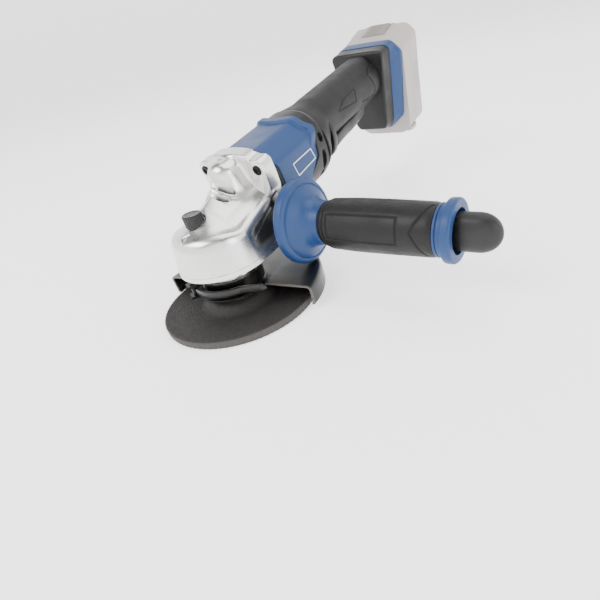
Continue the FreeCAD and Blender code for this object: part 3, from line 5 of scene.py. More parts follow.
import bpy
import mathutils
import numpy as np
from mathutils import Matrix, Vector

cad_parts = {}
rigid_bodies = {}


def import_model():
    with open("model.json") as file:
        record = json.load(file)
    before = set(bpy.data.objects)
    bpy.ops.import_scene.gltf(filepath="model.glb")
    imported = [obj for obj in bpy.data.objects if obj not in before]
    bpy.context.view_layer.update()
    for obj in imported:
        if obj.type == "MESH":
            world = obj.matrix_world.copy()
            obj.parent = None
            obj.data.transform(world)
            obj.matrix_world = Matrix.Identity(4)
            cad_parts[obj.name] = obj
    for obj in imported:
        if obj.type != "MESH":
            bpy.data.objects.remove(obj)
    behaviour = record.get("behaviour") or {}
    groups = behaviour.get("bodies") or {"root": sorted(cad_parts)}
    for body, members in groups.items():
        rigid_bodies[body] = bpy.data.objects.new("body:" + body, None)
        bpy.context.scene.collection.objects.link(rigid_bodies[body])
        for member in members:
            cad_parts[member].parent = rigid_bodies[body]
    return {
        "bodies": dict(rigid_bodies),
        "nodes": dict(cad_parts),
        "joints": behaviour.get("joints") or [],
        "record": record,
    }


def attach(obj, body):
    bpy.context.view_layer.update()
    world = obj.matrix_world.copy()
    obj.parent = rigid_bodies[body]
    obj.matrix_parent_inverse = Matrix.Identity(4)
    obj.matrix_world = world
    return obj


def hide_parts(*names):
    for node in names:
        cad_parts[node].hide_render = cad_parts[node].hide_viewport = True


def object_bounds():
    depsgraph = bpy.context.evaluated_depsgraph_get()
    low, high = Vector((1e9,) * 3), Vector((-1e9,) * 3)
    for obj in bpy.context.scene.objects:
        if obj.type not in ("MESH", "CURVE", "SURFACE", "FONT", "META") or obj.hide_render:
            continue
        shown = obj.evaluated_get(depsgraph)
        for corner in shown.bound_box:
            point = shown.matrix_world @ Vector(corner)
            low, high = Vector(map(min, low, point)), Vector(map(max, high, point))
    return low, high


bl_info = {
    "name": "Cordless angle grinder",
    "version": (1, 0, 0),
    "blender": (4, 5, 0),
    "location": "3D View > Sidebar > Grinder",
    "description": "Detailed surfaces and finishes of a cordless angle grinder",
    "category": "Object",
}

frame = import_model()
CAD_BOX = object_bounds()

MM = 0.001

# Sizes are in mm. The tool's axis crosses the spindle's at this height and rises to the back.
AXIS_HEIGHT = 67.5
TILT = math.radians(8.5)
# The side handle's axis: how far behind the spindle, and how high
HANDLE_BACK = 44.0
HANDLE_UP = 51.5
# The lock button's axis: how far in front of the spindle
BUTTON_OUT = 12.5
# The foot, the bezel and the battery are drawn about this height over the tool's axis
FOOT_MIDDLE = -13.0


# ---------------------------------------------------------------- frames and small formulas
def linear(code):
    """sRGB hex to linear red, green and blue."""
    share = np.array([int(code[i:i + 2], 16) for i in (1, 3, 5)]) / 255
    return tuple(np.where(share <= 0.04045, share / 12.92, ((share + 0.055) / 1.055) ** 2.4).tolist())


def on_tool(across, along, up):
    """Tool frame to the row frame, in mm: a turn by the tilt about X, then up to the axis."""
    across, along, up = np.broadcast_arrays(across, along, up)
    back = along * math.cos(TILT) - up * math.sin(TILT)
    high = AXIS_HEIGHT + along * math.sin(TILT) + up * math.cos(TILT)
    return np.stack([across, back, high], axis=-1)


def off_tool(x, y, z):
    """Row frame to the tool frame: (across, along, up)."""
    high = z - AXIS_HEIGHT
    return x, y * math.cos(TILT) + high * math.sin(TILT), high * math.cos(TILT) - y * math.sin(TILT)


def on_handle(along, across, up):
    """Side handle frame to the row frame, in mm."""
    along, across, up = np.broadcast_arrays(along, across, up)
    return np.stack([along, HANDLE_BACK + across, HANDLE_UP + up], axis=-1)


def on_spindle(up, across, along):
    """Spindle frame to the row frame, in mm."""
    up, across, along = np.broadcast_arrays(up, across, along)
    return np.stack([across, along, up], axis=-1)


def ramp(value, low, high):
    """Smooth step: 0 below low, 1 above high, 3t^2 - 2t^3 between."""
    share = np.clip((value - low) / (high - low), 0, 1)
    return share * share * (3 - 2 * share)


def bell(distance, width):
    """exp(-(distance/width)^2): a soft ridge or groove."""
    return np.exp(-(distance / width) ** 2)


def soft_min(a, b, blend):
    """Smaller of two fields, with a quadratic blend of that width where they cross."""
    share = np.clip(0.5 + 0.5 * (b - a) / blend, 0, 1)
    return b * (1 - share) + a * share - blend * share * (1 - share)


def soft_max(a, b, blend):
    """Larger of two fields, blended in the same way."""
    return -soft_min(-a, -b, blend)


def around(count):
    """A row of turns in radians, evenly round from straight up."""
    return np.linspace(0, 2 * math.pi, count, endpoint=False)[None, :]


def off_top(turn):
    """Degrees between a turn and straight up, the same on both sides."""
    return np.degrees(np.abs((turn + math.pi) % (2 * math.pi) - math.pi))


def path_distance(px, py, points, closed=False):
    """Distance in a plane from each point to a polyline."""
    nearest = np.full(np.broadcast(px, py).shape, 1e9)
    ends = list(zip(points, points[1:] + points[:1] if closed else points[1:]))
    for (ax, ay), (bx, by) in ends:
        dx, dy = bx - ax, by - ay
        share = np.clip(((px - ax) * dx + (py - ay) * dy) / (dx * dx + dy * dy), 0, 1)
        nearest = np.minimum(nearest, np.hypot(px - ax - share * dx, py - ay - share * dy))
    return nearest


def rounded(points, radii, steps=5, pitch=None):
    """A polyline with each inner corner replaced by a quadratic curve that starts and ends
    its radius away from the corner; runs longer than pitch are divided evenly."""
    made = [np.array(points[0], float)]
    for before, corner, after, radius in zip(points, points[1:], points[2:], radii):
        before, corner, after = (np.array(p, float) for p in (before, corner, after))
        way_in, way_out = before - corner, after - corner
        reach_in = min(radius, np.linalg.norm(way_in) * 0.49)
        reach_out = min(radius, np.linalg.norm(way_out) * 0.49)
        if radius <= 0:
            made.append(corner)
            continue
        start = corner + way_in / np.linalg.norm(way_in) * reach_in
        end = corner + way_out / np.linalg.norm(way_out) * reach_out
        for t in np.linspace(0, 1, steps + 1):
            made.append((1 - t) ** 2 * start + 2 * t * (1 - t) * corner + t * t * end)
    made.append(np.array(points[-1], float))
    if pitch:
        dense = [made[0]]
        for a, b in zip(made, made[1:]):
            parts = max(1, int(math.ceil(np.linalg.norm(b - a) / pitch)))
            dense.extend(a + (b - a) * (i + 1) / parts for i in range(parts))
        made = dense
    return np.array(made)


def wall_radius(turn, walls, power):
    """Distance from the centre line to a rounded polygon: the p-norm of the distances to its
    flat walls. Each wall is given as (facing in degrees from straight up, distance), and those
    of the right side are mirrored to the left."""
    total = 0.0
    for facing, distance in walls:
        for side in (facing, -facing) if 0 < facing < 180 else (facing,):
            total = total + (np.maximum(np.cos(turn - math.radians(side)), 0.0) / distance) ** power
    return total ** (-1.0 / power)


# ---------------------------------------------------------------- mesh building
def surface(name, grid, finish, body, nodes=(), ends="pole", angle=35.0, masks=None):
    """A closed surface from a grid of points in mm. Columns wrap round. Rows wrap too when
    ends is "ring"; "pole" closes each end row with a fan to its middle; "strip" closes it
    with quads between the column pairs i and last - i. Faces that meet at more than angle
    degrees stay sharp. masks are vertex attributes by name, one value for each grid point."""
    rows, cols = grid.shape[:2]
    points = grid.reshape(-1, 3)
    index = np.arange(rows * cols).reshape(rows, cols)
    right = np.roll(index, -1, axis=1)
    lower = np.roll(index, -1, axis=0) if ends == "ring" else index[1:]
    lower_right = np.roll(lower, -1, axis=1)
    count = len(lower)
    quads = np.stack([index[:count], right[:count], lower_right, lower], axis=-1).reshape(-1, 4)
    tris = np.zeros((0, 3), int)
    if ends == "pole":
        points = np.vstack([points, grid[0].mean(0), grid[-1].mean(0)])
        first, last = rows * cols, rows * cols + 1
        tris = np.vstack([np.stack([np.full(cols, first), right[0], index[0]], axis=-1),
                          np.stack([np.full(cols, last), index[-1], right[-1]], axis=-1)])
    if ends == "strip":
        half = cols // 2
        pair = np.arange(half - 1)
        for row, flip in ((index[0], False), (index[-1], True)):
            across = cols - 1 - pair
            cap = np.stack([row[pair], row[across], row[across - 1], row[pair + 1]], axis=-1)
            quads = np.vstack([quads, cap[:, ::-1] if flip else cap])
    a, b, c = points[quads[:, 0]], points[quads[:, 1]], points[quads[:, 2]]
    d = points[quads[:, 3]]
    volume = np.einsum("ij,ij->i", a, np.cross(b, c) + np.cross(c, d)).sum()
    if len(tris):
        volume += np.einsum("ij,ij->i", points[tris[:, 0]],
                            np.cross(points[tris[:, 1]], points[tris[:, 2]])).sum()
    if volume < 0:
        quads, tris = quads[:, ::-1], tris[:, ::-1]
    mesh = bpy.data.meshes.new(name)
    mesh.vertices.add(len(points))
    mesh.vertices.foreach_set("co", (points * MM).astype(np.float32).ravel())
    loops = np.concatenate([quads.ravel(), tris.ravel()])
    mesh.loops.add(len(loops))
    mesh.loops.foreach_set("vertex_index", loops.astype(np.int32))
    starts = np.concatenate([np.arange(len(quads)) * 4, len(quads) * 4 + np.arange(len(tris)) * 3])
    mesh.polygons.add(len(starts))
    mesh.polygons.foreach_set("loop_start", starts.astype(np.int32))
    mesh.polygons.foreach_set("use_smooth", np.ones(len(starts), bool))
    mesh.update(calc_edges=True)
    mesh.validate()
    for key, mask in (masks or {}).items():
        values = np.broadcast_to(mask, (rows, cols)).reshape(-1)
        values = np.concatenate([values, np.zeros(len(points) - len(values))])
        layer = mesh.attributes.new(key, "FLOAT", "POINT")
        layer.data.foreach_set("value", values.astype(np.float32))
    mesh.set_sharp_from_angle(angle=math.radians(angle))
    made = bpy.data.objects.new(name, mesh)
    bpy.context.scene.collection.objects.link(made)
    mesh.materials.append(finish)
    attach(made, body)
    if nodes:
        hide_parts(*nodes)
    return made


def turned(profile, place, turns=144, swell=None):
    """A profile of (along the axis, radius) carried round that axis."""
    turn = around(turns)
    along, radius = profile[:, 0][:, None], profile[:, 1][:, None]
    if swell is not None:
        radius = radius + swell(along, turn, radius)
    return place(along + 0 * turn, radius * np.cos(turn), radius * np.sin(turn))


def shell(stations, radius, centre, place=on_tool, turns=192):
    """Cross-sections along an axis: at each station the radius is a function of the turn
    from straight up, about a centre that may rise and fall."""
    turn = around(turns)
    along = np.asarray(stations, float)[:, None]
    reach = radius(along, turn)
    return place(reach * np.sin(turn), along + 0 * turn, centre(along) + reach * np.cos(turn))


def end_rows(low, high, pitch, edge=0.8, first=True, last=True):
    """Stations from low to high, with rows close together at both ends for a rounded edge.
    Returns the stations and how far each section is drawn in: a quarter circle at the ends."""
    arc = np.linspace(0, math.pi / 2, 5)
    middle = np.linspace(low + edge, high - edge, max(3, int((high - low) / pitch)))
    stations, inset = [middle], [0 * middle]
    if first:
        stations.insert(0, low + edge * (1 - np.cos(arc[:-1])))
        inset.insert(0, edge * (1 - np.sin(arc[:-1])))
    if last:
        stations.append(high - edge * (1 - np.cos(arc[::-1][1:])))
        inset.append(edge * (1 - np.sin(arc[::-1][1:])))
    return np.concatenate(stations), np.concatenate(inset)


def bent_bar(way, side, thick, tall, power, narrow, speed, count):
    """A bar along a path in a plane. Its section is a rounded rectangle, thick and tall being
    half its sizes: the cosine and the sine of the turn, each raised to power. It narrows at
    both ends as a sine. side says which way the first half faces. Returns the two coordinates
    in the path's plane, and the one off it."""
    tangent = np.gradient(way, axis=0)
    tangent /= np.linalg.norm(tangent, axis=1, keepdims=True)
    out = side * np.stack([tangent[:, 1], -tangent[:, 0]], axis=1)
    turn = around(count)
    taper = np.minimum(1, np.sin(np.linspace(narrow, math.pi - narrow, len(way))) * speed)[:, None]
    thick = thick * np.abs(np.cos(turn)) ** power * np.sign(np.cos(turn)) * taper
    tall = tall * np.abs(np.sin(turn)) ** power * np.sign(np.sin(turn)) * taper
    return way[:, :1] + out[:, :1] * thick, way[:, 1:] + out[:, 1:] * thick, tall


def wrap(field, front, rear, edge, height, lift, reach, columns, rows, steps=60, halvings=14):
    """The outermost zero of a field, found along rays that leave a flat slab with round ends:
    along lift from its top, fanning round its edge, and straight down from its underside. The
    slab lies at a height, from front to rear along Y, edge wide to each side. Columns run
    round one side and back along the other. Each ray is scanned from outside in, and then
    the step that holds the crossing is halved again and again."""
    nose, side, tail = columns
    bearing = np.radians(np.concatenate([np.linspace(-90, 0, nose, endpoint=False), np.zeros(side),
                                         np.linspace(0, 90, tail + 1)]))
    along = np.concatenate([np.full(nose, front), np.linspace(front, rear, side, endpoint=False),
                            np.full(tail + 1, rear)])
    way = np.stack([np.cos(bearing), np.sin(bearing), 0 * bearing], axis=1)
    way[0] = way[1]
    root = np.stack([0 * along, along, height + 0 * along], axis=1)
    mirror = np.array([-1.0, 1, 1])
    way, root = np.vstack([way, way[::-1] * mirror]), np.vstack([root, root[::-1] * mirror])
    top, fan, under = rows
    first = 0.2
    out = np.concatenate([np.linspace(first, edge, top, endpoint=False), np.full(len(fan), edge),
                          np.linspace(edge, first, under + 1)[1:]])
    lean = np.radians(np.concatenate([np.zeros(top), fan, np.full(under, 180.0)]))[:, None, None]
    rise = np.where(np.cos(lean) > 0, np.array(lift), np.array((0, 0, 1.0)))
    away = np.cos(lean) * rise + np.sin(lean) * way[None]
    away /= np.linalg.norm(away, axis=-1, keepdims=True)
    root = root[None] + out[:, None, None] * way[None]
    near = np.zeros(away.shape[:2])
    far = np.full(away.shape[:2], float(reach))
    found = np.zeros(away.shape[:2], bool)
    outer = reach
    for t in np.linspace(reach, 0, steps)[1:]:
        inside = (field(root + t * away) < 0) & ~found
        near[inside], far[inside] = t, outer
        found |= inside
        outer = t
    for _ in range(halvings):
        middle = (near + far) / 2
        inside = field(root + middle[..., None] * away) < 0
        near, far = np.where(inside, middle, near), np.where(inside, far, middle)
    return root + ((near + far) / 2)[..., None] * away


# ---------------------------------------------------------------- finishes
def node(tree, kind, inputs=None, **settings):
    """Adds one shader node with its settings, socket values and links."""
    made = tree.nodes.new(kind)
    for key, value in settings.items():
        setattr(made, key, value)
    for key, value in (inputs or {}).items():
        if isinstance(value, bpy.types.NodeSocket):
            tree.links.new(value, made.inputs[key])
        else:
            made.inputs[key].default_value = value
    return made


def finish(name, colour, rough, metallic, mottle, mottle_mm, grain_mm, grain_high, cell=False,
           rough_spread=0.08, coat=0.0, mask=None, mask_colour=None, mask_rough=None,
           stretch=(1, 1, 1), ior=None, sheen=0.5):
    """A surface finish: the colour wanders slowly by mottle over mottle_mm, the roughness
    wanders with it, and a grain of grain_mm stands grain_high mm proud, as cells or as noise.
    mask names a vertex attribute that lays a second colour and roughness over the first: painted shade in
    recesses on most pieces, a painted highlight along the guard's edges, and a rubbed, lighter rim on the disc.
    stretch lengthens the pattern; a plastic has an ior, and sheen is its specular level."""
    made = bpy.data.materials.new(name)
    made.use_nodes = True
    tree = made.node_tree
    tree.nodes.clear()
    place = node(tree, "ShaderNodeTexCoord").outputs["Object"]
    if stretch != (1, 1, 1):
        place = node(tree, "ShaderNodeMapping", {"Vector": place, "Scale": stretch}).outputs["Vector"]
    slow = node(tree, "ShaderNodeTexNoise", {
        "Vector": place, "Scale": 1 / (mottle_mm * MM), "Detail": 4.0}).outputs["Fac"]
    base = np.array(colour)
    dark = tuple((base * (1 - mottle)).tolist()) + (1.0,)
    light = tuple(np.minimum(base * (1 + mottle), 1.0).tolist()) + (1.0,)
    ends = 0.3, 0.7
    tint = node(tree, "ShaderNodeValToRGB", {"Fac": slow})
    for stop, position, shade in zip(tint.color_ramp.elements, ends, (dark, light)):
        stop.position, stop.color = position, shade
    shade = tint.outputs["Color"]
    gloss = node(tree, "ShaderNodeMapRange", {
        "Value": slow, "From Min": ends[0], "From Max": ends[1], "To Min": max(0.02, rough - rough_spread),
        "To Max": min(1.0, rough + rough_spread)}).outputs["Result"]
    if mask:
        cover = node(tree, "ShaderNodeAttribute", attribute_name=mask).outputs["Fac"]
        shade = node(tree, "ShaderNodeMix", {"Factor": cover, "A": shade, "B": linear(mask_colour) + (1.0,)},
                     data_type="RGBA").outputs["Result"]
        gloss = node(tree, "ShaderNodeMix", {"Factor": cover, "A": gloss, "B": mask_rough},
                     data_type="FLOAT").outputs["Result"]
    if cell:
        fine = node(tree, "ShaderNodeTexVoronoi", {"Vector": place, "Scale": 1 / (grain_mm * MM)},
                    feature="SMOOTH_F1").outputs["Distance"]
    else:
        fine = node(tree, "ShaderNodeTexNoise", {
            "Vector": place, "Scale": 1 / (grain_mm * MM), "Detail": 3.0}).outputs["Fac"]
    bump = node(tree, "ShaderNodeBump", {"Height": fine, "Strength": 1.0, "Distance": grain_high * MM})
    shader = node(tree, "ShaderNodeBsdfPrincipled", {
        "Base Color": shade, "Roughness": gloss, "Normal": bump.outputs["Normal"],
        "Metallic": metallic, "Coat Weight": coat})
    if ior:
        shader.inputs["IOR"].default_value = ior
        shader.inputs["Specular IOR Level"].default_value = sheen
    node(tree, "ShaderNodeOutputMaterial", {"Surface": shader.outputs["BSDF"]})
    return made


FINISHES = {}


def make_finishes(colours):
    """Every finish of the grinder, from the colour settings. Each call gives, in this order:
    name, colour, roughness, metallic, mottle and its scale in mm, grain in mm and its height
    in mm."""
    made = FINISHES
    # Die-cast aluminium, tumbled bright and clear-coated: soft wide highlights, faint orange peel. Its
    # near-black mask colour is painted shade inside the vents, and painted shade and dark reflection over the
    # lower flanks.
    made["casting"] = finish("diecast_aluminium_tumbled", colours.casting, 0.28, 1.0, 0.03, 18, 1.6, 0.012,
                             rough_spread=0.05, mask="pocket_and_painted_shade", mask_colour="#101010", mask_rough=0.55)
    # The same metal with its casting skin machined off: a little smoother and more even.
    made["casting_plain"] = finish("diecast_aluminium_machined", colours.casting, 0.25, 1.0, 0.04, 18, 1.2,
                                   0.01)
    # ABS injection moulded with a fine spark texture: satin, even colour.
    made["blue"] = finish("abs_moulded_blue", colours.blue, 0.42, 0.0, 0.05, 25, 0.6, 0.012, ior=1.5,
                          sheen=0.32)
    # Glass-filled nylon moulded from a textured tool: black with a slight brown, low sheen. Its darker mask
    # colour is painted shade inside the cowl's slots.
    made["black"] = finish("nylon_glass_filled_black", colours.black, 0.42, 0.0, 0.15, 14, 0.7, 0.02,
                           mask="pocket_and_painted_shade", mask_colour="#060708", mask_rough=0.7, ior=1.53, sheen=0.3)
    # The same nylon from a smoother tool, a little glossier.
    made["gloss"] = finish("nylon_glass_filled_gloss", colours.black, 0.32, 0.0, 0.1, 14, 1.2, 0.01,
                           ior=1.53, sheen=0.35)
    # Thermoplastic elastomer overmoulding: matt grey-black, leather stipple of about 1 mm. Its darker mask
    # colour is painted shade in the seams.
    made["soft"] = finish("tpe_overmould_stipple", colours.soft, 0.55, 0.0, 0.12, 16, 1.1, 0.05, cell=True,
                          mask="pocket_and_painted_shade", mask_colour="#050505", mask_rough=0.8, ior=1.5, sheen=0.32)
    # The side handle's elastomer has a coarser leather grain, about 1.8 mm. Its darker mask colour is painted
    # shade in the moulded lines.
    made["handle"] = finish("tpe_overmould_leather", colours.black, 0.5, 0.0, 0.15, 14, 1.8, 0.12, cell=True,
                            mask="pocket_and_painted_shade", mask_colour="#040404", mask_rough=0.75, ior=1.5, sheen=0.3)
    # The spanner's grip is plain moulded nylon: finer and a little lighter.
    made["spanner"] = finish("nylon_moulded_satin", colours.spanner, 0.45, 0.0, 0.1, 20, 0.9, 0.015, ior=1.53,
                             sheen=0.35)
    # Pale polycarbonate blend of the battery case, eggshell surface. Its darker mask colour would be painted
    # shade, but no battery piece carries the mask.
    made["pale"] = finish("pc_abs_moulded_pale", colours.pale, 0.5, 0.0, 0.03, 22, 0.7, 0.01,
                          mask="pocket_and_painted_shade", mask_colour="#8f8a88", mask_rough=0.6, ior=1.55)
    # The same blend in a darker grey, for the release button.
    made["pale_grey"] = finish("pc_abs_moulded_grey", colours.pale_grey, 0.5, 0.0, 0.05, 15, 0.7, 0.01,
                               ior=1.55)
    # Resin-bonded abrasive with glass mesh: charcoal, dull, grit of 1 mm with lighter grains.
    made["abrasive"] = finish("resin_bonded_abrasive", colours.abrasive, 0.72, 0.0, 0.3, 2.2, 0.9, 0.16,
                              rough_spread=0.12, mask="wear_and_painted_highlight", mask_colour="#4a4644", mask_rough=0.8)
    # Pressed steel sheet, black powder coat. Its lighter bare-steel mask colour is a painted highlight along
    # the guard's cut ends and lower lip.
    made["sheet"] = finish("steel_sheet_black_coat", colours.coated, 0.34, 0.0, 0.2, 20, 1.4, 0.012,
                           coat=0.1, mask="wear_and_painted_highlight", mask_colour="#8f8880", mask_rough=0.4, ior=1.5, sheen=0.4)
    # Black-oxide steel: dark, part metal, oily sheen.
    made["oxide"] = finish("steel_black_oxide", linear("#1b1918"), 0.34, 0.7, 0.25, 9, 0.8, 0.012)
    # Turned steel: fine rings from the tool, 0.4 mm apart, read as stretched grain.
    made["steel"] = finish("steel_turned_bright", linear("#b9b6b1"), 0.28, 1.0, 0.06, 10, 0.4, 0.006,
                           stretch=(1, 1, 8))
    # Hardened and ground steel: darker, with a finer, more even grain.
    made["dark_steel"] = finish("steel_hardened_ground", linear("#5f5c58"), 0.35, 1.0, 0.1, 8, 0.5, 0.008)
    # Wound copper under clear enamel: warm and bright, with the wire's pitch as long grain.
    made["copper"] = finish("copper_enamelled_winding", linear("#b86a35"), 0.3, 1.0, 0.15, 4, 0.6, 0.06,
                            stretch=(1, 0.15, 1))
    # Sintered bronze: dull gold, faintly porous.
    made["bronze"] = finish("bronze_sintered", linear("#9a7440"), 0.45, 1.0, 0.12, 6, 0.5, 0.01)
    # Sintered ferrite and pressed carbon: dark, dull and fine-grained.
    made["ferrite"] = finish("ferrite_magnet_sintered", linear("#2e2d2f"), 0.55, 0.2, 0.1, 5, 0.4, 0.02)
    made["carbon"] = finish("carbon_brush_pressed", linear("#232323"), 0.5, 0.3, 0.1, 4, 0.3, 0.02)
    # Glass-epoxy board under green lacquer, and the shrink wrap round the cells.
    made["board"] = finish("board_epoxy_green", linear("#1d5a34"), 0.4, 0.0, 0.1, 6, 1.2, 0.02, coat=0.2)
    made["cell"] = finish("cell_shrink_wrap", linear("#2f8a8f"), 0.35, 0.0, 0.05, 10, 2.0, 0.01)
    # White pad print, thin and matt.
    made["print"] = finish("ink_pad_print_white", linear("#e8ebee"), 0.5, 0.0, 0.03, 6, 0.6, 0.004)


# Finish of each CAD node that stays as it is
CARRIED = {
    "steel": ["spindle", "inner_flange", "lock_pin", "rotor_shaft", "spindle_bearing", "front_bearing",
              "rear_bearing", "wrench_blade", "bearing_retainer", "paddle_pin", "contact_blades",
              "battery_terminals", "plate_screws", "lock_spring", "paddle_spring", "housing_screws"],
    "dark_steel": ["bevel_gear", "bevel_pinion", "armature", "motor_can", "lock_nut", "handle_stud"],
    "oxide": ["guard_clamp_screw", "guard_lever_pin", "guard_band"],
    "casting_plain": ["bearing_plate"],
    "copper": ["armature_winding", "commutator"],
    "bronze": ["spindle_bush"],
    "ferrite": ["motor_magnets"],
    "carbon": ["carbon_brushes"],
    "board": ["control_board"],
    "cell": ["battery_cells"],
    "gloss": ["cooling_fan", "fan_baffle", "brush_holders", "switch_module", "terminal_block", "handle_core"],
}


# ---------------------------------------------------------------- gear head
# Centre line of the roof: (back, height) in mm
ROOF_LINE = ((-36.0, 78.0), (-13.7, 80.0), (0.0, 80.5), (9.5, 84.8), (14.6, 90.1), (18.2, 90.9),
             (24.0, 93.0))
# Vent slots: (distance from the hump's middle, half width, first and last bearing in degrees)
VENTS = ((15.4, 1.4, 12, 50), (20.4, 1.2, 10, 32))
HUMP_BACK = 30
# Where the roof's slope changes, out from the centre line
ROOF_FLAT = 17
# Shoulder screws: how far out to each side, and how high over the tool's axis
SCREW_OUT, SCREW_UP = 26.4, 20.6
# The raised chevron on the roof, in plan
ARROW = [(0.5, -21.5), (-5.0, -24.6), (-1.5, -28.4)]
# The casting's rear face along the tool, and its underside
HEAD_END, HEAD_BOTTOM = 52, 42.05


def crest_height(y):
    """Height of the edge between the belly wall and the sloping flank: level round the
    nose, then rising towards the rear flange."""
    return 66.0 + 14.5 * np.clip((y + 5) / 55, 0, 1) ** 1.25


def flank_pocket(y, z):
    """1 inside the pressed-in hollow of each flank, 0 outside, with soft edges: between a
    low edge and a line below the crest, rounded at the front."""
    high = crest_height(y) - 5.5
    front = ramp(y, 1.0, 13.0)
    return front * ramp(z, 44.5, 49.5) * ramp(high - z, 0.0, 5.0)


def vent_field(x, y):
    """Distance in plan to the nearest vent slot: arcs round the hump's middle, each held
    between two bearings either side of the centre line."""
    radius = np.hypot(x, y - HUMP_BACK)
    bearing = np.degrees(np.arctan2(np.abs(x), HUMP_BACK - y))
    nearest = np.full(np.broadcast(x, y).shape, 1e3)
    for reach, half, start, end in VENTS:
        beyond = np.maximum(np.abs(bearing - (start + end) / 2) - (end - start) / 2, 0)
        side = np.radians(beyond) * reach
        nearest = np.minimum(nearest, np.hypot(radius - reach, side) - half)
    return nearest


def head_field(p):
    """Signed distance, roughly, to the gear head. A belly wall tapers upwards about the
    spindle and runs back; a roof falls from the centre line to the crest in two flats;
    they meet in a rounded edge. A hump, a rear flange and two shoulder bosses are blended
    on; pockets, vents, a dimple on the hump and the button's well are taken off."""
    x, y, z = p[..., 0], p[..., 1], p[..., 2]
    across, along, up = off_tool(x, y, z)
    back = np.clip(y, 0, 60)
    plan = np.hypot(x, y - back)
    pocket_and_painted_shade = flank_pocket(y, z)
    wall = plan - (35.9 - 0.17 * (z - 39) - 0.1 * back - 2.2 * pocket_and_painted_shade)
    centre = np.interp(y, *np.transpose(ROOF_LINE))
    shoulder = 72.5 + 0.24 * back
    crest = crest_height(y)
    reach = 31.5 - 0.1 * back
    inner = np.clip(plan / ROOF_FLAT, 0, 1)
    outer = np.clip((plan - ROOF_FLAT) / (reach - ROOF_FLAT), 0, 1.4)
    roof = centre + (shoulder - centre) * inner ** 1.15 + (crest - shoulder) * outer
    roof = roof - 2.6 * np.sin(np.pi * np.clip(outer, 0, 1)) * (0.25 + 0.75 * ramp(y, -16, 2))
    louvre = np.hypot(x, y - HUMP_BACK)
    lift = sum(1.1 * bell(louvre - (out - half - 1.2), 1.5) for out, half, _, _ in VENTS)
    roof = roof + lift * ramp(ROOF_FLAT - plan, 0, 5) * ramp(y, 4, 7) * (y < HUMP_BACK)
    chevron = path_distance(x, y, ARROW)
    roof = roof + 0.35 * ramp(1.1 - chevron, 0, 0.5)
    body = soft_max(wall, (z - roof) * 0.82, 5.0)

    hump_line = 22.8
    hump = np.hypot(np.hypot(across * 0.86, along - np.clip(along, 31, 60)),
                    np.maximum(up - hump_line, 0) * 1.15)
    body = soft_min(body, (hump - 10.0 - 0.2 * np.maximum(hump_line - up, 0)) * 0.8, 5.0)

    turn = np.arctan2(across, up)
    size = wall_radius(turn, ((0, 32), (45, 35.5), (90, 30), (135, 31.1), (180, 25)), 14)
    flange = soft_max(np.hypot(across, up) - size, 44.5 - 4.6 * ramp(up, 0, 8) - along, 1.6)
    body = soft_min(body, flange, 2.4)
    boss = np.hypot(np.abs(across) - 25.6, np.maximum(up - 20.5, 0)) + 0.1 * np.maximum(20.5 - up, 0)
    shoulder_boss = soft_max(soft_max(boss - 7.2, 39.2 - along, 1.2), 2 - up, 3.0)
    body = soft_min(body, shoulder_boss, 2.0)
    button = np.maximum(np.hypot(x, y + BUTTON_OUT) - 7.5, 75.0 - z)
    body = soft_max(body, -button, 1.2)
    vents = np.maximum(vent_field(x, y), (roof - 5.5) - z)
    body = soft_max(body, -vents, 0.5)
    dimple = np.hypot(np.hypot(across / 1.7, along - 33.5), (up - 32.8) * 1.2) - 2.2
    body = soft_max(body, -dimple, 0.8)

    body = soft_max(body, along - HEAD_END, 0.8)
    body = soft_max(body, y - (45.8 + 0.42 * (z - 42)), 1.0)
    return soft_max(body, HEAD_BOTTOM - z, 0.2)


def head_masks(grid):
    """Painted shade inside the vents, and painted shade and dark reflection over the flank pockets and the
    lower flanks, with a thin line across each left undarkened as a painted highlight of the ridge.
    """
    x, y, z = grid[..., 0], grid[..., 1], grid[..., 2]
    sunk = np.interp(y, *np.transpose(ROOF_LINE)) - z
    # Painted shade inside the vent slots.
    vents = ramp(0.3 - vent_field(x, y), 0, 0.6) * ramp(sunk, 0.6, 2.5)
    # A thin line along the ridge is kept out of the painted shade, as its painted highlight.
    line = np.abs(z - 0.34 * (y - 5.4) - 53.6)
    side = (np.abs(x) > 24) * (1 - bell(line, 0.5) * (y > 5) * (y < 38))
    # Painted shade and dark reflection over the pressed-in hollow and the lower flank.
    pocket_and_painted_shade = flank_pocket(y, z) ** 0.5 * ramp(y, 0, 9) * 0.9 * side
    flank = ramp(y, -3, 12) * ramp(z, 43, 49) * ramp(crest_height(y) - 2 - z, 0, 9) * 0.85 * side
    return np.clip(np.maximum(np.maximum(vents, pocket_and_painted_shade), flank), 0, 1)


def build_screws():
    """Shoulder screws: a pan head with a six-lobed socket sunk 1.4 mm, turned about the tool's
    direction and set in each boss."""
    section = rounded([(0.8, 0.2), (0.8, 1.6), (0.0, 1.8), (0.0, 3.4), (0.4, 3.8), (6.0, 3.8), (6.0, 0.2)],
                      [0.2, 0.2, 0.3, 0.3, 0.3], pitch=0.3)
    head_start = 38.2

    def lobes(along, turn, radius):
        return 0.22 * np.cos(6 * turn) * ramp(2.1 - radius, 0, 0.6) * (radius > 0.5)
    for side, name, nodes in ((1, "shoulder_screw_right", ["head_screws"]), (-1, "shoulder_screw_left", [])):
        def place(deep, across, up, side=side):
            return on_tool(side * SCREW_OUT + across, head_start + deep, SCREW_UP + up)
        surface(name, turned(section, place, 96, lobes), FINISHES["oxide"], "root", nodes,
                angle=40)


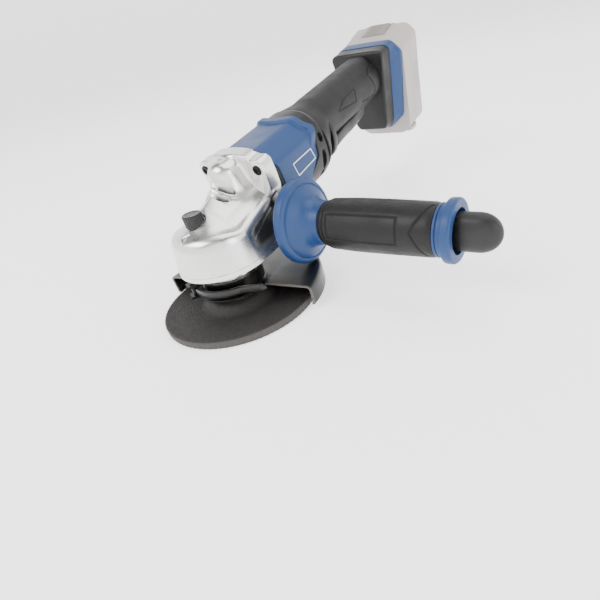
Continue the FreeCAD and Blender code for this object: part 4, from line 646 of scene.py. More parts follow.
def build_head():
    """The gear head: the surface where head_field is 0, found by rays from a slab inside it.
    The rays fan out in fine steps down to where the wall turns under, and then in coarse ones."""
    fan = np.concatenate([np.linspace(2, 92, 62), np.linspace(93.5, 144, 42), np.linspace(150, 176, 4)])
    grid = wrap(head_field, front=-2, rear=44, edge=17, height=61, lift=(0, -math.sin(TILT), math.cos(TILT)),
                reach=62, columns=(76, 150, 16), rows=(66, fan, 3))
    # The mask on the head is painted shade inside the vents, and painted shade and dark reflection over the
    # flanks.
    surface("gear_head_casting", grid, FINISHES["casting"], "root", ["gear_head"], ends="strip",
            masks={"pocket_and_painted_shade": head_masks(grid)}, angle=42)


# ---------------------------------------------------------------- motor housing and cowl
def housing_end(turn):
    """Where the blue housing stops and the vented cowl starts, round the tool."""
    return np.interp(off_top(turn), (0, 11, 44, 55, 71, 95, 113, 180),
                     (106, 106.5, 111, 115, 110, 107.6, 93, 92))


def housing_walls(grow):
    """The motor housing's eight flats, each grow mm further out than the plain body."""
    return ((0, 28.5 + grow), (45, 31.5 + grow), (90, 29 + grow), (135, 31.5 + grow), (180, 29 + grow))


def build_housing():
    """Faceted housing: the p-norm polygon is carried back, sunk near the head and raised
    into a rim at the rear upper edge. Each column of rows ends on the housing's edge line."""
    turn = around(288)
    share, inset = end_rows(0.0, 1.0, 0.0125, 0.012)
    share, inset = share[:, None], inset[:, None] * 70
    start = 52.6 + 6.0 * ramp(np.abs(np.sin(turn)), 0.72, 0.95)
    end = housing_end(turn)
    along = start + share * (end - start)
    upper = ramp(np.cos(turn), math.cos(math.radians(80)), math.cos(math.radians(62)))
    rim = 2.0 * ramp(along, end - 8.5, end - 6.5) * upper
    seam = 0.35 * bell(turn - math.pi, 0.012) + 0.25 * bell(along - (end - 9.2), 0.5) * upper
    radius = wall_radius(turn, housing_walls(0), 44) + rim - inset - seam
    grid = on_tool(radius * np.sin(turn), along, radius * np.cos(turn))
    surface("motor_housing_shell", grid, FINISHES["blue"], "root", ["motor_housing"],
            angle=28)
    stations, drawn = end_rows(51.8, 60.5, 0.6, 0.5)
    grid = shell(stations, lambda s, t: wall_radius(t, housing_walls(-0.8), 30)
                 - np.interp(s, stations, drawn) - 0.5 * bell(s - 55.5, 0.5), lambda s: 0 * s)
    surface("housing_collar", grid, FINISHES["black"], "root", ["housing_seal"], angle=28)


def build_label(sizes):
    """A thin printed border with slanted ends on the housing's right side: a closed path
    with a flat four-cornered section."""
    corners = [(7.0, 74.3), (6.7, 101.1), (-3.0, 103.5), (-4.2, 76.2)]
    path = rounded(corners + corners[:2], [0.6] * 4, steps=3)[1:-1]
    centre = path.mean(0)
    inner = centre + (path - centre) * np.array([0.87, 0.95])
    wall = dict(housing_walls(0))[90]
    proud = wall + sizes.print_thick / MM
    rows = [on_tool(out, ring[:, 1], ring[:, 0])
            for ring, out in ((path, wall), (path, proud), (inner, proud), (inner, wall))]
    surface("label_border", np.array(rows), FINISHES["print"], "root", ends="ring", angle=30)


# Cowl slots: (bearing in degrees, station, half length in degrees, half width)
SLOTS = ((74, 117, 6.5, 2.6), (108, 114, 15.0, 2.8), (130, 112, 6.0, 2.4))


def cowl_slots(along, turn):
    """1 inside the cowl's lens-shaped slots, 0 outside: each slot is a long ellipse on the
    wall, and it leans a little."""
    degrees = off_top(turn)
    depth = 0 * along * turn
    for bearing, station, half_length, half_width in SLOTS:
        leaned = along - station - 0.05 * (bearing - degrees)
        share = ((degrees - bearing) / half_length) ** 2 + (leaned / half_width) ** 2
        depth = np.maximum(depth, ramp(1.25 - share, 0, 0.5))
    return depth


COWL_RADIUS = 31.4


def cowl_radius(along):
    """The cowl's radius: a straight barrel that closes in behind the slots."""
    return COWL_RADIUS - 2.4 * ramp(along, 120, 128) - 5.0 * ramp(along, 126, 142)


def build_cowl(sizes):
    """Vented cowl, round with soft flats. The slots are pressed in, and the front is sunk
    under the housing."""
    stations, drawn = end_rows(90.0, 127.0, 0.3, 0.8)

    def radius(along, turn):
        flats = wall_radius(turn, housing_walls(0), 16) / COWL_RADIUS
        sunk = 2.0 * ramp(housing_end(turn) - along, 0.0, 1.0)
        return (cowl_radius(along) * (0.55 + 0.45 * flats) - sunk
                - sizes.slot_depth / MM * cowl_slots(along, turn) - np.interp(along, stations, drawn))
    turns = 420
    grid = shell(stations, radius, lambda s: 0 * s, turns=turns)
    # The mask paints shade inside the pressed slots.
    surface("vent_cowl_shell", grid, FINISHES["black"], "root", ["vent_cowl"],
            masks={"pocket_and_painted_shade": cowl_slots(stations[:, None], around(turns))}, angle=40)


# ---------------------------------------------------------------- grip, switch and foot
# Overmould seam across the grip: (bearing in degrees, station in mm)
SEAM = [(-10, 265), (32, 258), (49, 246), (65, 230), (101, 236), (122, 236), (110, 208)]
# A closed panel line on each side of the grip, given in the same way
PANEL = [(85, 164), (72, 177), (70, 199), (96, 196)]


def grip_centre(along):
    """Height of the grip's centre line over the tool axis."""
    return 8.0 * ramp(along, 122, 150)


def grip_groove(along, turn):
    """Depth of the overmould's seams, from the distance to their lines on the wall."""
    arc = 0.4    # mm of wall for each degree
    wide = off_top(turn) * arc
    seam = path_distance(wide, along, [(a * arc, b) for a, b in SEAM])
    panel = path_distance(wide, along, [(a * arc, b) for a, b in PANEL], closed=True)
    return np.maximum(bell(seam, 0.8), 0.8 * bell(panel, 0.7))


def build_grip(sizes):
    """Soft grip: an oval section that swells a little for the palm and widens at the front
    over the cowl, with overmould seams cut in."""
    stations, drawn = end_rows(123.2, 252.0, 0.5, 1.2)

    def radius(along, turn):
        front = 9.6 * (1 - ramp(along, 121, 148))
        swell = 0.5 * np.clip((along - 150) / 80, 0, 1)
        size = wall_radius(turn, ((0, 19.9), (45, 20.4), (90, 21.8), (135, 21.6), (180, 20.6)), 12)
        return (size + front + swell - sizes.seam_depth / MM * grip_groove(along, turn)
                - np.interp(along, stations, drawn))
    turns = 300
    grid = shell(stations, radius, grip_centre, turns=turns)
    # The mask paints shade into the seam grooves.
    surface("grip_overmould", grid, FINISHES["soft"], "root", ["grip_shell"],
            masks={"pocket_and_painted_shade": 0.8 * grip_groove(stations[:, None], around(turns))}, angle=50)


def build_switch():
    """Paddle switch: a shallow bar with finger ribs under the grip. The lock-off tab in front
    is a flat bar bent round the grip's lower half."""
    stations, drawn = end_rows(147.5, 219.0, 0.6, 1.5)

    def paddle(along, turn):
        size = wall_radius(turn, ((0, 6), (90, 17.0), (125, 14.5), (180, 6.5)), 9)
        rib_pitch = 7
        ribs = (0.5 * ramp(-np.cos(turn), 0.5, 0.8) * np.cos(along * 2 * math.pi / rib_pitch)
                * ramp(along, 160, 166) * (1 - ramp(along, 200, 206)))
        return size - 1.2 * ramp(along, 195, 219) + ribs - np.interp(along, stations, drawn)
    grid = shell(stations, paddle, lambda s: -12.5 - 1.5 * bell(s - 158, 12) + 0.05 * np.maximum(s - 190, 0))
    surface("switch_paddle", grid, FINISHES["black"], "paddle", ["paddle_switch"], angle=40)

    way = rounded([(21.5, 7.0), (22.5, -4), (17.5, -19.5), (0, -23.5), (-17.5, -19.5), (-22.5, -4),
                   (-21.5, 7.0)], [6, 9, 14, 9, 6], steps=10, pitch=1.2)
    across, up, along = bent_bar(way, side=-1, thick=2.0, tall=3.2, power=0.6, narrow=0.12, speed=4, count=32)
    grid = on_tool(across, 146.2 + along, up)
    surface("lock_off_bar", grid, FINISHES["gloss"], "lock_off", ["lock_off_tab"], angle=50)


def foot_radius(along, turn):
    """The black foot about FOOT_MIDDLE: a flat top, sides that lean in towards the bottom and
    wide lower facets. It deepens a little towards the bezel."""
    back = np.clip((along - 252) / 15, 0, 1)
    return wall_radius(turn, ((0, 44.0), (45, 50.2), (98.7, 23.4 + back), (126, 31.6 + 1.5 * back),
                              (180, 31.5 + 4.5 * back)), 36)


def bezel_radius(turn):
    """The blue bezel's outline about the same height, with facets at all four corners."""
    return wall_radius(turn, ((0, 45.2), (45, 50.6), (99.5, 31.4), (142.7, 38.4), (180, 40.0)), 44)


def build_foot():
    """The grip's foot: a black block with a flat, round-edged front face, and the bezel that
    flares from it to frame the battery."""
    stations, drawn = end_rows(248.6, 267.5, 0.5, 2.6, last=False)
    grid = shell(stations, lambda s, t: foot_radius(s, t) - np.interp(s, stations, drawn),
                 lambda s: FOOT_MIDDLE + 0 * s, turns=300)
    surface("grip_foot", grid, FINISHES["black"], "root", ["battery_foot"], angle=30)

    rows, inset = end_rows(264.8, 278.0, 0.4, 0.5)

    def flare(along, turn):
        inner = foot_radius(along, turn) + 0.7
        share = np.clip((along - 265.3) / 9.5, 0, 1)
        return inner + (bezel_radius(turn) - inner) * share - np.interp(along, rows, inset)
    grid = shell(rows, flare, lambda s: FOOT_MIDDLE + 0 * s, turns=300)
    surface("foot_frame", grid, FINISHES["blue"], "root", ["foot_bezel"], angle=24)


def build_battery():
    """Battery pack: a pale faceted case with a waist line, ribbed flanks and lower feet, and
    a ribbed release button set in a raised frame on top."""
    stations = np.concatenate([[278.35, 278.6], np.linspace(279.2, 313.0, 110), np.linspace(313.6, 319.0, 14)])

    def case(along, turn):
        rise = 5.0 * np.clip((along - 279) / 34, 0, 1)
        size = wall_radius(turn, ((0, 44.6 + rise), (45, 51.2 + rise), (94.3, 35.3), (142, 52.5),
                                  (180, 48.5)), 44)
        waist = 0.9 * bell(along - 296, 0.7)
        side = ramp(np.abs(np.sin(turn)), 0.85, 0.97)
        rib_pitch = 3.2
        ribs = (0.8 * side * ramp(along, 299, 301) * (1 - ramp(along, 311, 313))
                * (0.5 + 0.5 * np.cos(2 * math.pi * along / rib_pitch)))
        frame = bell(np.maximum(np.abs(along - 301) - 12.4, np.abs(size * np.sin(turn)) - 16.2), 0.9)
        frame = 1.1 * frame * (np.cos(turn) > 0.7)
        drawn = 0.5 * (along < 278.5) + 3.0 * np.clip((along - 314.5) / 4.5, 0, 1) ** 1.5
        return size - waist * (np.cos(turn) < 0.7) - ribs + frame - drawn
    grid = shell(stations, case, lambda s: FOOT_MIDDLE + 0 * s, turns=420)
    surface("battery_case_shell", grid, FINISHES["pale"], "battery", ["battery_case"],
            angle=24)

    foot = rounded([(0.0, 0.1), (0.0, 4.6), (-1.2, 5.2), (-4.4, 5.2), (-4.4, 0.1)], [0.4, 0.5, 1.0], pitch=0.8)
    for side, name in ((1, "case_foot_right"), (-1, "case_foot_left")):
        def stand(rise, across, back, side=side):
            return on_tool(side * 22 + 1.1 * across, 299 + 2.0 * back, rise - 60.4)
        surface(name, turned(foot, stand, 64), FINISHES["pale"], "battery", angle=40)

    rows, drawn = end_rows(289.5, 312.5, 0.2, 0.8)

    def latch(along, turn):
        size = wall_radius(turn, ((0, 4.4), (45, 11.4), (90, 14.5), (180, 4.2)), 14)
        rib_pitch = 3.3
        ribs = 0.5 * np.cos(2 * math.pi * along / rib_pitch) * ramp(np.cos(turn), 0.3, 0.7)
        return size + ribs - np.interp(along, rows, drawn)
    grid = shell(rows, latch, lambda s: 29.6 + 5.0 * (s - 279) / 34, turns=200)
    surface("release_button", grid, FINISHES["pale_grey"], "battery_latch", ["battery_latch"],
            angle=40)


# ---------------------------------------------------------------- wheel, guard and lever
def build_disc(sizes):
    """Depressed-centre disc: one ring-shaped section turned about the spindle. Moulded rings
    run round the working zone, and the rim is slightly toothed."""
    edge = sizes.disc_radius / MM
    section = rounded([(6.5, 11.15), (6.5, 19), (-0.5, 26), (-0.5, edge), (5.5, edge), (5.5, 30), (12.5, 23.5),
                       (12.5, 11.15)], [1.5, 3, 0.8, 0.8, 4, 3], pitch=0.8)

    def teeth(along, turn, radius):
        return 0.25 * np.cos(turn * 90) * ramp(radius, edge - 0.7, edge - 0.1)
    grid = turned(section, on_spindle, 240, teeth)
    high, radius = section[:, 0], section[:, 1]
    ring_high, ring_pitch = 0.16, 2.6
    rings = (ring_high * np.sin(radius * 2 * math.pi / ring_pitch) * ramp(radius, 31, 34)
             * (1 - ramp(radius, edge - 2.5, edge - 1)) * (high > 5))
    grid[..., 2] += rings[:, None]
    # A lighter, rubbed rim of the abrasive.
    worn_and_painted_highlight = ramp(radius, edge - 1.5, edge - 0.1)[:, None] * 0.6
    surface("disc_wheel", grid, FINISHES["abrasive"], "spindle", ["grinding_disc"], ends="ring",
            masks={"wear_and_painted_highlight": worn_and_painted_highlight}, angle=40)


def sheet_section(points, radii, thick):
    """A sheet's section: the outer line, then the inner line back, thick mm inside it."""
    outer = rounded(points, radii, steps=6, pitch=2.5)
    way = np.gradient(outer, axis=0)
    way /= np.linalg.norm(way, axis=1, keepdims=True)
    inner = outer + np.stack([way[:, 1], -way[:, 0]], axis=1) * thick
    return np.vstack([outer, inner[::-1]])


def build_guard():
    """Wheel guard: a bent sheet section swept half a turn about the spindle, and the eye ring
    that it hangs from, turned as one."""
    section = sheet_section([(26, 18.9), (70, 18.9), (70, 2.6), (67.4, 2.6)], [4.0, 1.2], 1.6)
    steps = 150
    sweep = np.radians(np.linspace(5.2, 186.8, steps))[:, None]
    radius, high = section[None, :, 0], section[None, :, 1]
    grid = on_spindle(high + 0 * sweep, radius * np.cos(sweep), radius * np.sin(sweep))
    # Painted highlight: a bare-steel colour along the sweep's two cut ends and along the lower lip.
    painted_end_highlight = np.zeros((steps, 1))
    painted_end_highlight[[0, -1]] = 0.35
    worn_and_painted_highlight = painted_end_highlight * (radius > 27) + 0.2 * bell(high - 2.6, 0.6)
    surface("guard_sheet", grid, FINISHES["sheet"], "guard", ["guard"], ends="strip",
            masks={"wear_and_painted_highlight": np.clip(worn_and_painted_highlight, 0, 1)}, angle=35)
    eye = rounded([(17.4, 22.4), (17.4, 29.0), (19.0, 29.6), (19.2, 26.0), (21.0, 25.0), (21.0, 22.4)],
                  [0.5, 0.5, 0.8, 0.5], pitch=1.0)
    surface("guard_eye", turned(eye, on_spindle, 160), FINISHES["sheet"], "guard", ends="ring",
            masks={"wear_and_painted_highlight": np.zeros((len(eye), 1))}, angle=35)


def build_lever():
    """Clamp lever: a pressed bar with rounded edges, bowed round the clamp and turned out at
    its tail."""
    bow_radius, high = 29.2, 24.5
    bow = np.radians(np.linspace(-117, -36, 60))
    arc = bow_radius * np.stack([np.cos(bow), np.sin(bow)], axis=1)
    tail = rounded([tuple(arc[-1]), (31.5, -13.5), (43.0, -9.0)], [7], steps=8, pitch=1.2)
    way = np.vstack([arc, tail[1:]])
    across, back, up = bent_bar(way, side=1, thick=1.7, tall=3.1, power=0.5, narrow=0.06, speed=5, count=36)
    surface("clamp_lever", on_spindle(high + up, across, back), FINISHES["sheet"], "guard_lever",
            ["guard_lever"], masks={"wear_and_painted_highlight": np.zeros((1, 1))}, angle=50)


def build_button(sizes):
    """Spindle lock button: a ribbed knob with a dished top."""
    section = rounded([(72.0, 0.4), (72.0, 6.6), (72.5, 7.0), (77.0, 7.0), (80.6, 7.0), (81.2, 6.2),
                       (80.7, 4.6), (80.6, 0.4)], [0.5, 0.5, 0.3, 0.8, 0.6, 1.0], pitch=0.4)

    def ribs(along, turn, radius):
        sunk = 0.35 * (0.5 + 0.5 * np.cos(sizes.knob_ribs * turn))
        return -sunk * ramp(radius, 6.2, 6.9) * ramp(81 - along, 0.2, 0.9)

    def place(up, across, back):
        return np.stack(np.broadcast_arrays(across, back - BUTTON_OUT, up), axis=-1)
    surface("lock_knob", turned(section, place, 240, ribs), FINISHES["gloss"], "lock",
            ["lock_button"], angle=45)


# ---------------------------------------------------------------- side handle and its spanner
def handle_marks(along, turn):
    """The grip's moulded lines, a panel and a V across the end, and the panel's inside: 1 on
    them and 0 off them."""
    arc = 0.32    # mm of wall for each degree
    wide = ((360 - np.degrees(turn)) % 360 - 180) * arc
    panel = path_distance(along, wide, [(81, 15), (81, -3), (136, -3), (136, 15)], closed=True)
    vee = path_distance(along, wide, [(158, 26.5), (146, 5.8), (156, -12.2)])
    inside = (ramp(along, 81.5, 83) * (1 - ramp(along, 134, 135.5))
              * ramp(wide, -2.6, -1.2) * (1 - ramp(wide, 13.4, 14.8)))
    return np.maximum(bell(panel, 0.8), bell(vee, 0.8)), inside


def build_handle(sizes):
    """Side handle: a domed flange with a ring groove, an overmoulded grip and an end ring,
    each a section turned about the handle's axis. The grip has its lines and panel cut in."""
    flange = rounded([(37.2, 8.0), (37.2, 15), (41, 23), (45.0, 31.2), (46.5, 32), (51.5, 32), (53.2, 30.4),
                      (53.9, 28.4), (53.1, 27.8), (54.2, 27.0), (56.2, 24.4), (60.0, 18.8), (66.0, 16.6),
                      (71.9, 16.2), (71.9, 8.0)],
                     [1, 3, 1, 1, 1.5, 1.2, 0.5, 0.5, 1.5, 3, 3, 1, 0.8], pitch=0.8)
    surface("handle_shield", turned(flange, on_handle, 200), FINISHES["blue"], "side_handle",
            ["handle_flange"], ends="ring", angle=35)

    sleeve = rounded([(72.2, 9.5), (72.2, 16.2), (75.6, 17.2), (76.6, 17.0), (78.6, 18.3), (100, 19.0),
                      (130, 18.7), (157.5, 18.2), (160.8, 17.2), (160.8, 9.5)],
                     [0.6, 0.6, 0.4, 0.8, 8, 8, 1.5, 0.6], pitch=0.45)
    turns = 300
    lines, inside = handle_marks(sleeve[:, 0][:, None], around(turns))
    outer = (sleeve[:, 1] > 16)[:, None]
    line_depth, panel_depth = sizes.line_depth / MM, 0.3

    def marks(along, turn, radius):
        return (-line_depth * lines - panel_depth * inside) * outer
    # The mask paints shade into the moulded lines.
    surface("handle_sleeve", turned(sleeve, on_handle, turns, marks), FINISHES["handle"], "side_handle",
            ["handle_grip"], ends="ring", masks={"pocket_and_painted_shade": 0.85 * lines * outer}, angle=50)

    ring = rounded([(161.0, 15.0), (161.0, 17.8), (162.6, 17.8), (163.2, 16.9), (163.8, 17.8), (166.6, 18.0),
                    (167.2, 20.8), (168.6, 21.2), (172.8, 21.2), (174.0, 20.2), (174.0, 15.0)],
                   [0.5, 0.3, 0.3, 0.3, 0.5, 0.5, 1.0, 1.0, 0.8], pitch=0.8)
    surface("end_ring", turned(ring, on_handle, 200), FINISHES["blue"], "side_handle",
            ["handle_end_ring"], ends="ring", angle=35)

    build_spanner_grip()


def build_spanner_grip():
    """The stored spanner's grip: a superellipse section that widens a little and closes in a
    rounded end."""
    straight_end, dome, power = 186, 16, 2.5
    closing = np.sin(np.linspace(0, 0.49, 24)[1:] * math.pi)
    rows = np.concatenate([np.linspace(152, straight_end, 40), straight_end + dome * closing])
    share = np.clip((rows - straight_end) / dome, 0, 1)
    round_off = np.sqrt(np.maximum(1 - share ** 2.2, 0))[:, None]
    turn = around(120)
    half_up = (12.4 + 0.6 * ramp(rows, 165, 180))[:, None] * round_off
    half_out = (6.2 + 2.3 * ramp(rows, 160, 178))[:, None] * round_off
    reach = (np.abs(np.cos(turn) / np.maximum(half_out, 0.05)) ** power
             + np.abs(np.sin(turn) / np.maximum(half_up, 0.05)) ** power) ** (-1 / power)
    grid = on_handle(rows[:, None], reach * np.cos(turn), reach * np.sin(turn))
    surface("spanner_grip", grid, FINISHES["spanner"], "wrench", ["wrench_grip"], angle=60)


# ---------------------------------------------------------------- finishes of the carried-over nodes
def finish_nodes():
    """Gives every remaining CAD node its procedural finish."""
    for kind, names in CARRIED.items():
        for name in names:
            piece = bpy.data.objects[name]
            for held in piece.material_slots:
                held.material = FINISHES[kind]
            if not piece.material_slots:
                piece.data.materials.append(FINISHES[kind])


# ---------------------------------------------------------------- stage
# The camera's right, up and backward directions, and its place in metres
CAMERA_AXES = ((0.874554, 0.455505, -0.166347), (-0.17129, 0.611093, 0.772804),
               (0.453669, -0.647365, 0.612457))
CAMERA_SPOT = (0.266107, -0.201417, 0.178592)
# Soft lights: (name, place, width and height in metres, share of the main light's power)
LAMPS = (("key", (-0.5, -0.9, 1.5), 1.2, 0.8, 1.0), ("top", (0.2, 0.6, 1.7), 1.4, 1.4, 0.9),
         ("side", (1.5, -0.1, 0.7), 0.5, 1.2, 0.35))
LAMPS_AIM = (0.03, 0.04, 0.07)
WHITE = (1, 1, 1, 1)


def build_stage(look):
    """Soft lights, the camera, and a pale floor that is flat for 5 m round the tool and then
    rises as a parabola."""
    for piece in list(bpy.context.scene.objects):
        if piece.name in ("Cube", "Light", "Camera"):
            bpy.data.objects.remove(piece)
    scene = bpy.context.scene
    low = float(CAD_BOX[0][2]) / MM
    half, flat = 9000, 5000
    span = np.linspace(-half, half, 61)
    across, along = np.meshgrid(span, span, indexing="ij")
    rise = np.maximum(np.hypot(across, along) - flat, 0) ** 2 / 3000
    top = np.stack([across, along, low + rise], axis=-1)
    index = np.arange(len(span) ** 2).reshape(across.shape)
    quads = np.stack([index[:-1, :-1], index[1:, :-1], index[1:, 1:], index[:-1, 1:]], axis=-1)
    mesh = bpy.data.meshes.new("floor")
    mesh.from_pydata((top.reshape(-1, 3) * MM).tolist(), [], quads.reshape(-1, 4).tolist())
    floor = bpy.data.objects.new("floor", mesh)
    scene.collection.objects.link(floor)
    floor_finish = finish("floor_paper_matt", look.floor, 0.9, 0.0, 0.004, 400, 2.0, 0.004)
    glow = floor_finish.node_tree.nodes["Principled BSDF"]
    glow.inputs["Emission Color"].default_value = WHITE
    glow.inputs["Emission Strength"].default_value = look.glow
    mesh.materials.append(floor_finish)

    world = bpy.data.worlds.new("studio")
    world.use_nodes = True
    back = world.node_tree.nodes["Background"]
    back.inputs["Color"].default_value = WHITE
    back.inputs["Strength"].default_value = look.fill
    scene.world = world
    for name, spot, wide, tall, share in LAMPS:
        lamp = bpy.data.lights.new(name, "AREA")
        lamp.shape, lamp.size, lamp.size_y, lamp.energy = "RECTANGLE", wide, tall, look.key * share
        holder = bpy.data.objects.new(name, lamp)
        holder.location = spot
        holder.rotation_mode = "QUATERNION"
        facing = mathutils.Vector(spot) - mathutils.Vector(LAMPS_AIM)
        holder.rotation_quaternion = facing.to_track_quat("Z", "Y")
        scene.collection.objects.link(holder)

    lens = bpy.data.cameras.new("camera")
    lens.sensor_width = 36.0
    lens.lens = look.lens
    lens.shift_x, lens.shift_y = look.shift_x, look.shift_y
    holder = bpy.data.objects.new("camera", lens)
    facing = mathutils.Matrix(CAMERA_AXES).transposed().to_4x4()
    holder.matrix_world = mathutils.Matrix.Translation(CAMERA_SPOT) @ facing
    scene.collection.objects.link(holder)
    scene.camera = holder


# ---------------------------------------------------------------- add-on
def tint(name, words, code):
    """A colour setting from an sRGB hex value."""
    return bpy.props.FloatVectorProperty(name=name, description=words, subtype="COLOR", size=3, min=0, max=1,
                                         default=linear(code))


def length(name, words, default):
    """A size setting in metres."""
    return bpy.props.FloatProperty(name=name, description=words, subtype="DISTANCE", unit="LENGTH", min=0,
                                   precision=5, default=default)


class GrinderSizes(bpy.types.PropertyGroup):
    """Sizes of the grinder that may be changed without touching the other pieces."""
    disc_radius: length("Disc radius", "Outer radius of the grinding disc", 0.0625)
    slot_depth: length("Slot depth", "How far the cowl's slots are pressed in", 0.003)
    seam_depth: length("Seam depth", "How deep the grip's overmould seams are", 0.0007)
    line_depth: length("Line depth", "How deep the side handle's lines are", 0.0006)
    print_thick: length("Print thickness", "How proud the border's ink stands", 0.00012)
    knob_ribs: bpy.props.IntProperty(name="Knob ribs", description="Ribs round the lock button", default=24,
                                     min=3, max=60)


class GrinderLook(bpy.types.PropertyGroup):
    """Colours, lights and camera of the grinder."""
    casting: tint("Casting", "Base colour of the die-cast head", "#dedddb")
    blue: tint("Blue", "Moulded blue of the housing, bezel and handle flange", "#1f3b68")
    black: tint("Black", "Glass-filled nylon", "#110f0f")
    soft: tint("Soft grip", "Overmoulded elastomer", "#161516")
    spanner: tint("Spanner grip", "Moulded nylon of the stored spanner", "#161414")
    pale: tint("Battery case", "Pale battery case", "#a8a19d")
    pale_grey: tint("Release button", "Battery release button", "#7d7875")
    abrasive: tint("Abrasive", "Bonded abrasive of the disc", "#1d1a19")
    coated: tint("Coated steel", "Coating of the guard and the lever", "#0c0b0a")
    floor: tint("Floor", "Paper of the floor", "#f6f6f6")
    fill: bpy.props.FloatProperty(name="Fill", description="Strength of the even light", default=0.2, min=0)
    glow: bpy.props.FloatProperty(name="Glow", description="Light that the floor gives off", default=1.15,
                                  min=0)
    key: bpy.props.FloatProperty(name="Key", description="Power of the main light", default=25.0, min=0)
    lens: bpy.props.FloatProperty(name="Lens", description="Focal length", default=26.099, unit="CAMERA")
    shift_x: bpy.props.FloatProperty(name="Shift across", description="Lens shift to the side", default=-0.1305)
    shift_y: bpy.props.FloatProperty(name="Shift up", description="Lens shift upwards", default=0.0616)


class GRINDER_OT_stage(bpy.types.Operator):
    """Makes the floor, the lights and the camera"""
    bl_idname = "grinder.stage"
    bl_label = "Stage"

    def execute(self, context):
        build_stage(context.scene.grinder_look)
        return {"FINISHED"}


class GRINDER_OT_finishes(bpy.types.Operator):
    """Makes every surface finish"""
    bl_idname = "grinder.finishes"
    bl_label = "Finishes"

    def execute(self, context):
        make_finishes(context.scene.grinder_look)
        return {"FINISHED"}


class GRINDER_OT_head(bpy.types.Operator):
    """Makes the die-cast gear head"""
    bl_idname = "grinder.head"
    bl_label = "Gear head"

    def execute(self, context):
        build_head()
        return {"FINISHED"}


class GRINDER_OT_screws(bpy.types.Operator):
    """Makes the two shoulder screws"""
    bl_idname = "grinder.screws"
    bl_label = "Shoulder screws"

    def execute(self, context):
        build_screws()
        return {"FINISHED"}


class GRINDER_OT_button(bpy.types.Operator):
    """Makes the spindle lock button"""
    bl_idname = "grinder.button"
    bl_label = "Lock button"

    def execute(self, context):
        build_button(context.scene.grinder_sizes)
        return {"FINISHED"}


class GRINDER_OT_housing(bpy.types.Operator):
    """Makes the blue motor housing and its collar"""
    bl_idname = "grinder.housing"
    bl_label = "Motor housing"

    def execute(self, context):
        build_housing()
        return {"FINISHED"}


class GRINDER_OT_label(bpy.types.Operator):
    """Makes the printed border on the housing"""
    bl_idname = "grinder.label"
    bl_label = "Label"

    def execute(self, context):
        build_label(context.scene.grinder_sizes)
        return {"FINISHED"}


class GRINDER_OT_cowl(bpy.types.Operator):
    """Makes the vented cowl"""
    bl_idname = "grinder.cowl"
    bl_label = "Vent cowl"

    def execute(self, context):
        build_cowl(context.scene.grinder_sizes)
        return {"FINISHED"}


class GRINDER_OT_grip(bpy.types.Operator):
    """Makes the soft grip"""
    bl_idname = "grinder.grip"
    bl_label = "Grip"

    def execute(self, context):
        build_grip(context.scene.grinder_sizes)
        return {"FINISHED"}


class GRINDER_OT_switch(bpy.types.Operator):
    """Makes the paddle switch and its lock-off bar"""
    bl_idname = "grinder.switch"
    bl_label = "Switch"

    def execute(self, context):
        build_switch()
        return {"FINISHED"}


class GRINDER_OT_foot(bpy.types.Operator):
    """Makes the grip's foot and its bezel"""
    bl_idname = "grinder.foot"
    bl_label = "Foot"

    def execute(self, context):
        build_foot()
        return {"FINISHED"}


class GRINDER_OT_battery(bpy.types.Operator):
    """Makes the battery pack and its release button"""
    bl_idname = "grinder.battery"
    bl_label = "Battery"

    def execute(self, context):
        build_battery()
        return {"FINISHED"}


class GRINDER_OT_disc(bpy.types.Operator):
    """Makes the grinding disc"""
    bl_idname = "grinder.disc"
    bl_label = "Disc"

    def execute(self, context):
        build_disc(context.scene.grinder_sizes)
        return {"FINISHED"}


class GRINDER_OT_guard(bpy.types.Operator):
    """Makes the wheel guard"""
    bl_idname = "grinder.guard"
    bl_label = "Guard"

    def execute(self, context):
        build_guard()
        return {"FINISHED"}


class GRINDER_OT_lever(bpy.types.Operator):
    """Makes the guard's clamp lever"""
    bl_idname = "grinder.lever"
    bl_label = "Clamp lever"

    def execute(self, context):
        build_lever()
        return {"FINISHED"}


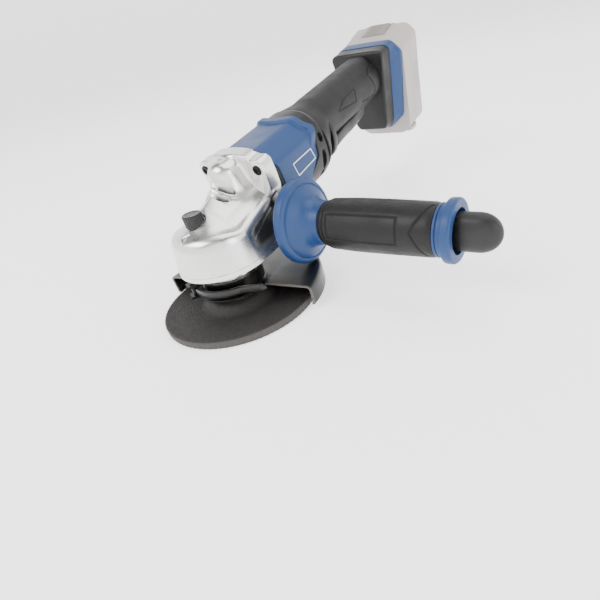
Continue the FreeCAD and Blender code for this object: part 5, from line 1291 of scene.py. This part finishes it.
class GRINDER_OT_handle(bpy.types.Operator):
    """Makes the side handle and the spanner's grip"""
    bl_idname = "grinder.handle"
    bl_label = "Side handle"

    def execute(self, context):
        build_handle(context.scene.grinder_sizes)
        return {"FINISHED"}


class GRINDER_OT_nodes(bpy.types.Operator):
    """Finishes the parts that keep their shape"""
    bl_idname = "grinder.nodes"
    bl_label = "Inner parts"

    def execute(self, context):
        finish_nodes()
        return {"FINISHED"}


OPERATORS = (GRINDER_OT_stage, GRINDER_OT_finishes, GRINDER_OT_head, GRINDER_OT_screws, GRINDER_OT_button,
             GRINDER_OT_housing, GRINDER_OT_label, GRINDER_OT_cowl, GRINDER_OT_grip, GRINDER_OT_switch,
             GRINDER_OT_foot, GRINDER_OT_battery, GRINDER_OT_disc, GRINDER_OT_guard, GRINDER_OT_lever,
             GRINDER_OT_handle, GRINDER_OT_nodes)


class GRINDER_PT_panel(bpy.types.Panel):
    """Lists the grinder's settings and pieces."""
    bl_label = "Grinder"
    bl_idname = "GRINDER_PT_panel"
    bl_space_type = "VIEW_3D"
    bl_region_type = "UI"
    bl_category = "Grinder"

    def draw(self, context):
        for group in (context.scene.grinder_sizes, context.scene.grinder_look):
            for key in type(group).__annotations__:
                self.layout.prop(group, key)
        for made in OPERATORS:
            self.layout.operator(made.bl_idname)


CLASSES = (GrinderSizes, GrinderLook, *OPERATORS, GRINDER_PT_panel)


def register():
    """Registers the settings, the operators and the panel."""
    for made in CLASSES:
        bpy.utils.register_class(made)
    bpy.types.Scene.grinder_sizes = bpy.props.PointerProperty(type=GrinderSizes)
    bpy.types.Scene.grinder_look = bpy.props.PointerProperty(type=GrinderLook)


def unregister():
    """Takes them away again."""
    del bpy.types.Scene.grinder_look
    del bpy.types.Scene.grinder_sizes
    for made in reversed(CLASSES):
        bpy.utils.unregister_class(made)


def main():
    """Builds every piece in order."""
    register()
    for made in OPERATORS:
        getattr(bpy.ops.grinder, made.bl_idname.split(".")[1])()


if __name__ == "__main__":
    main()
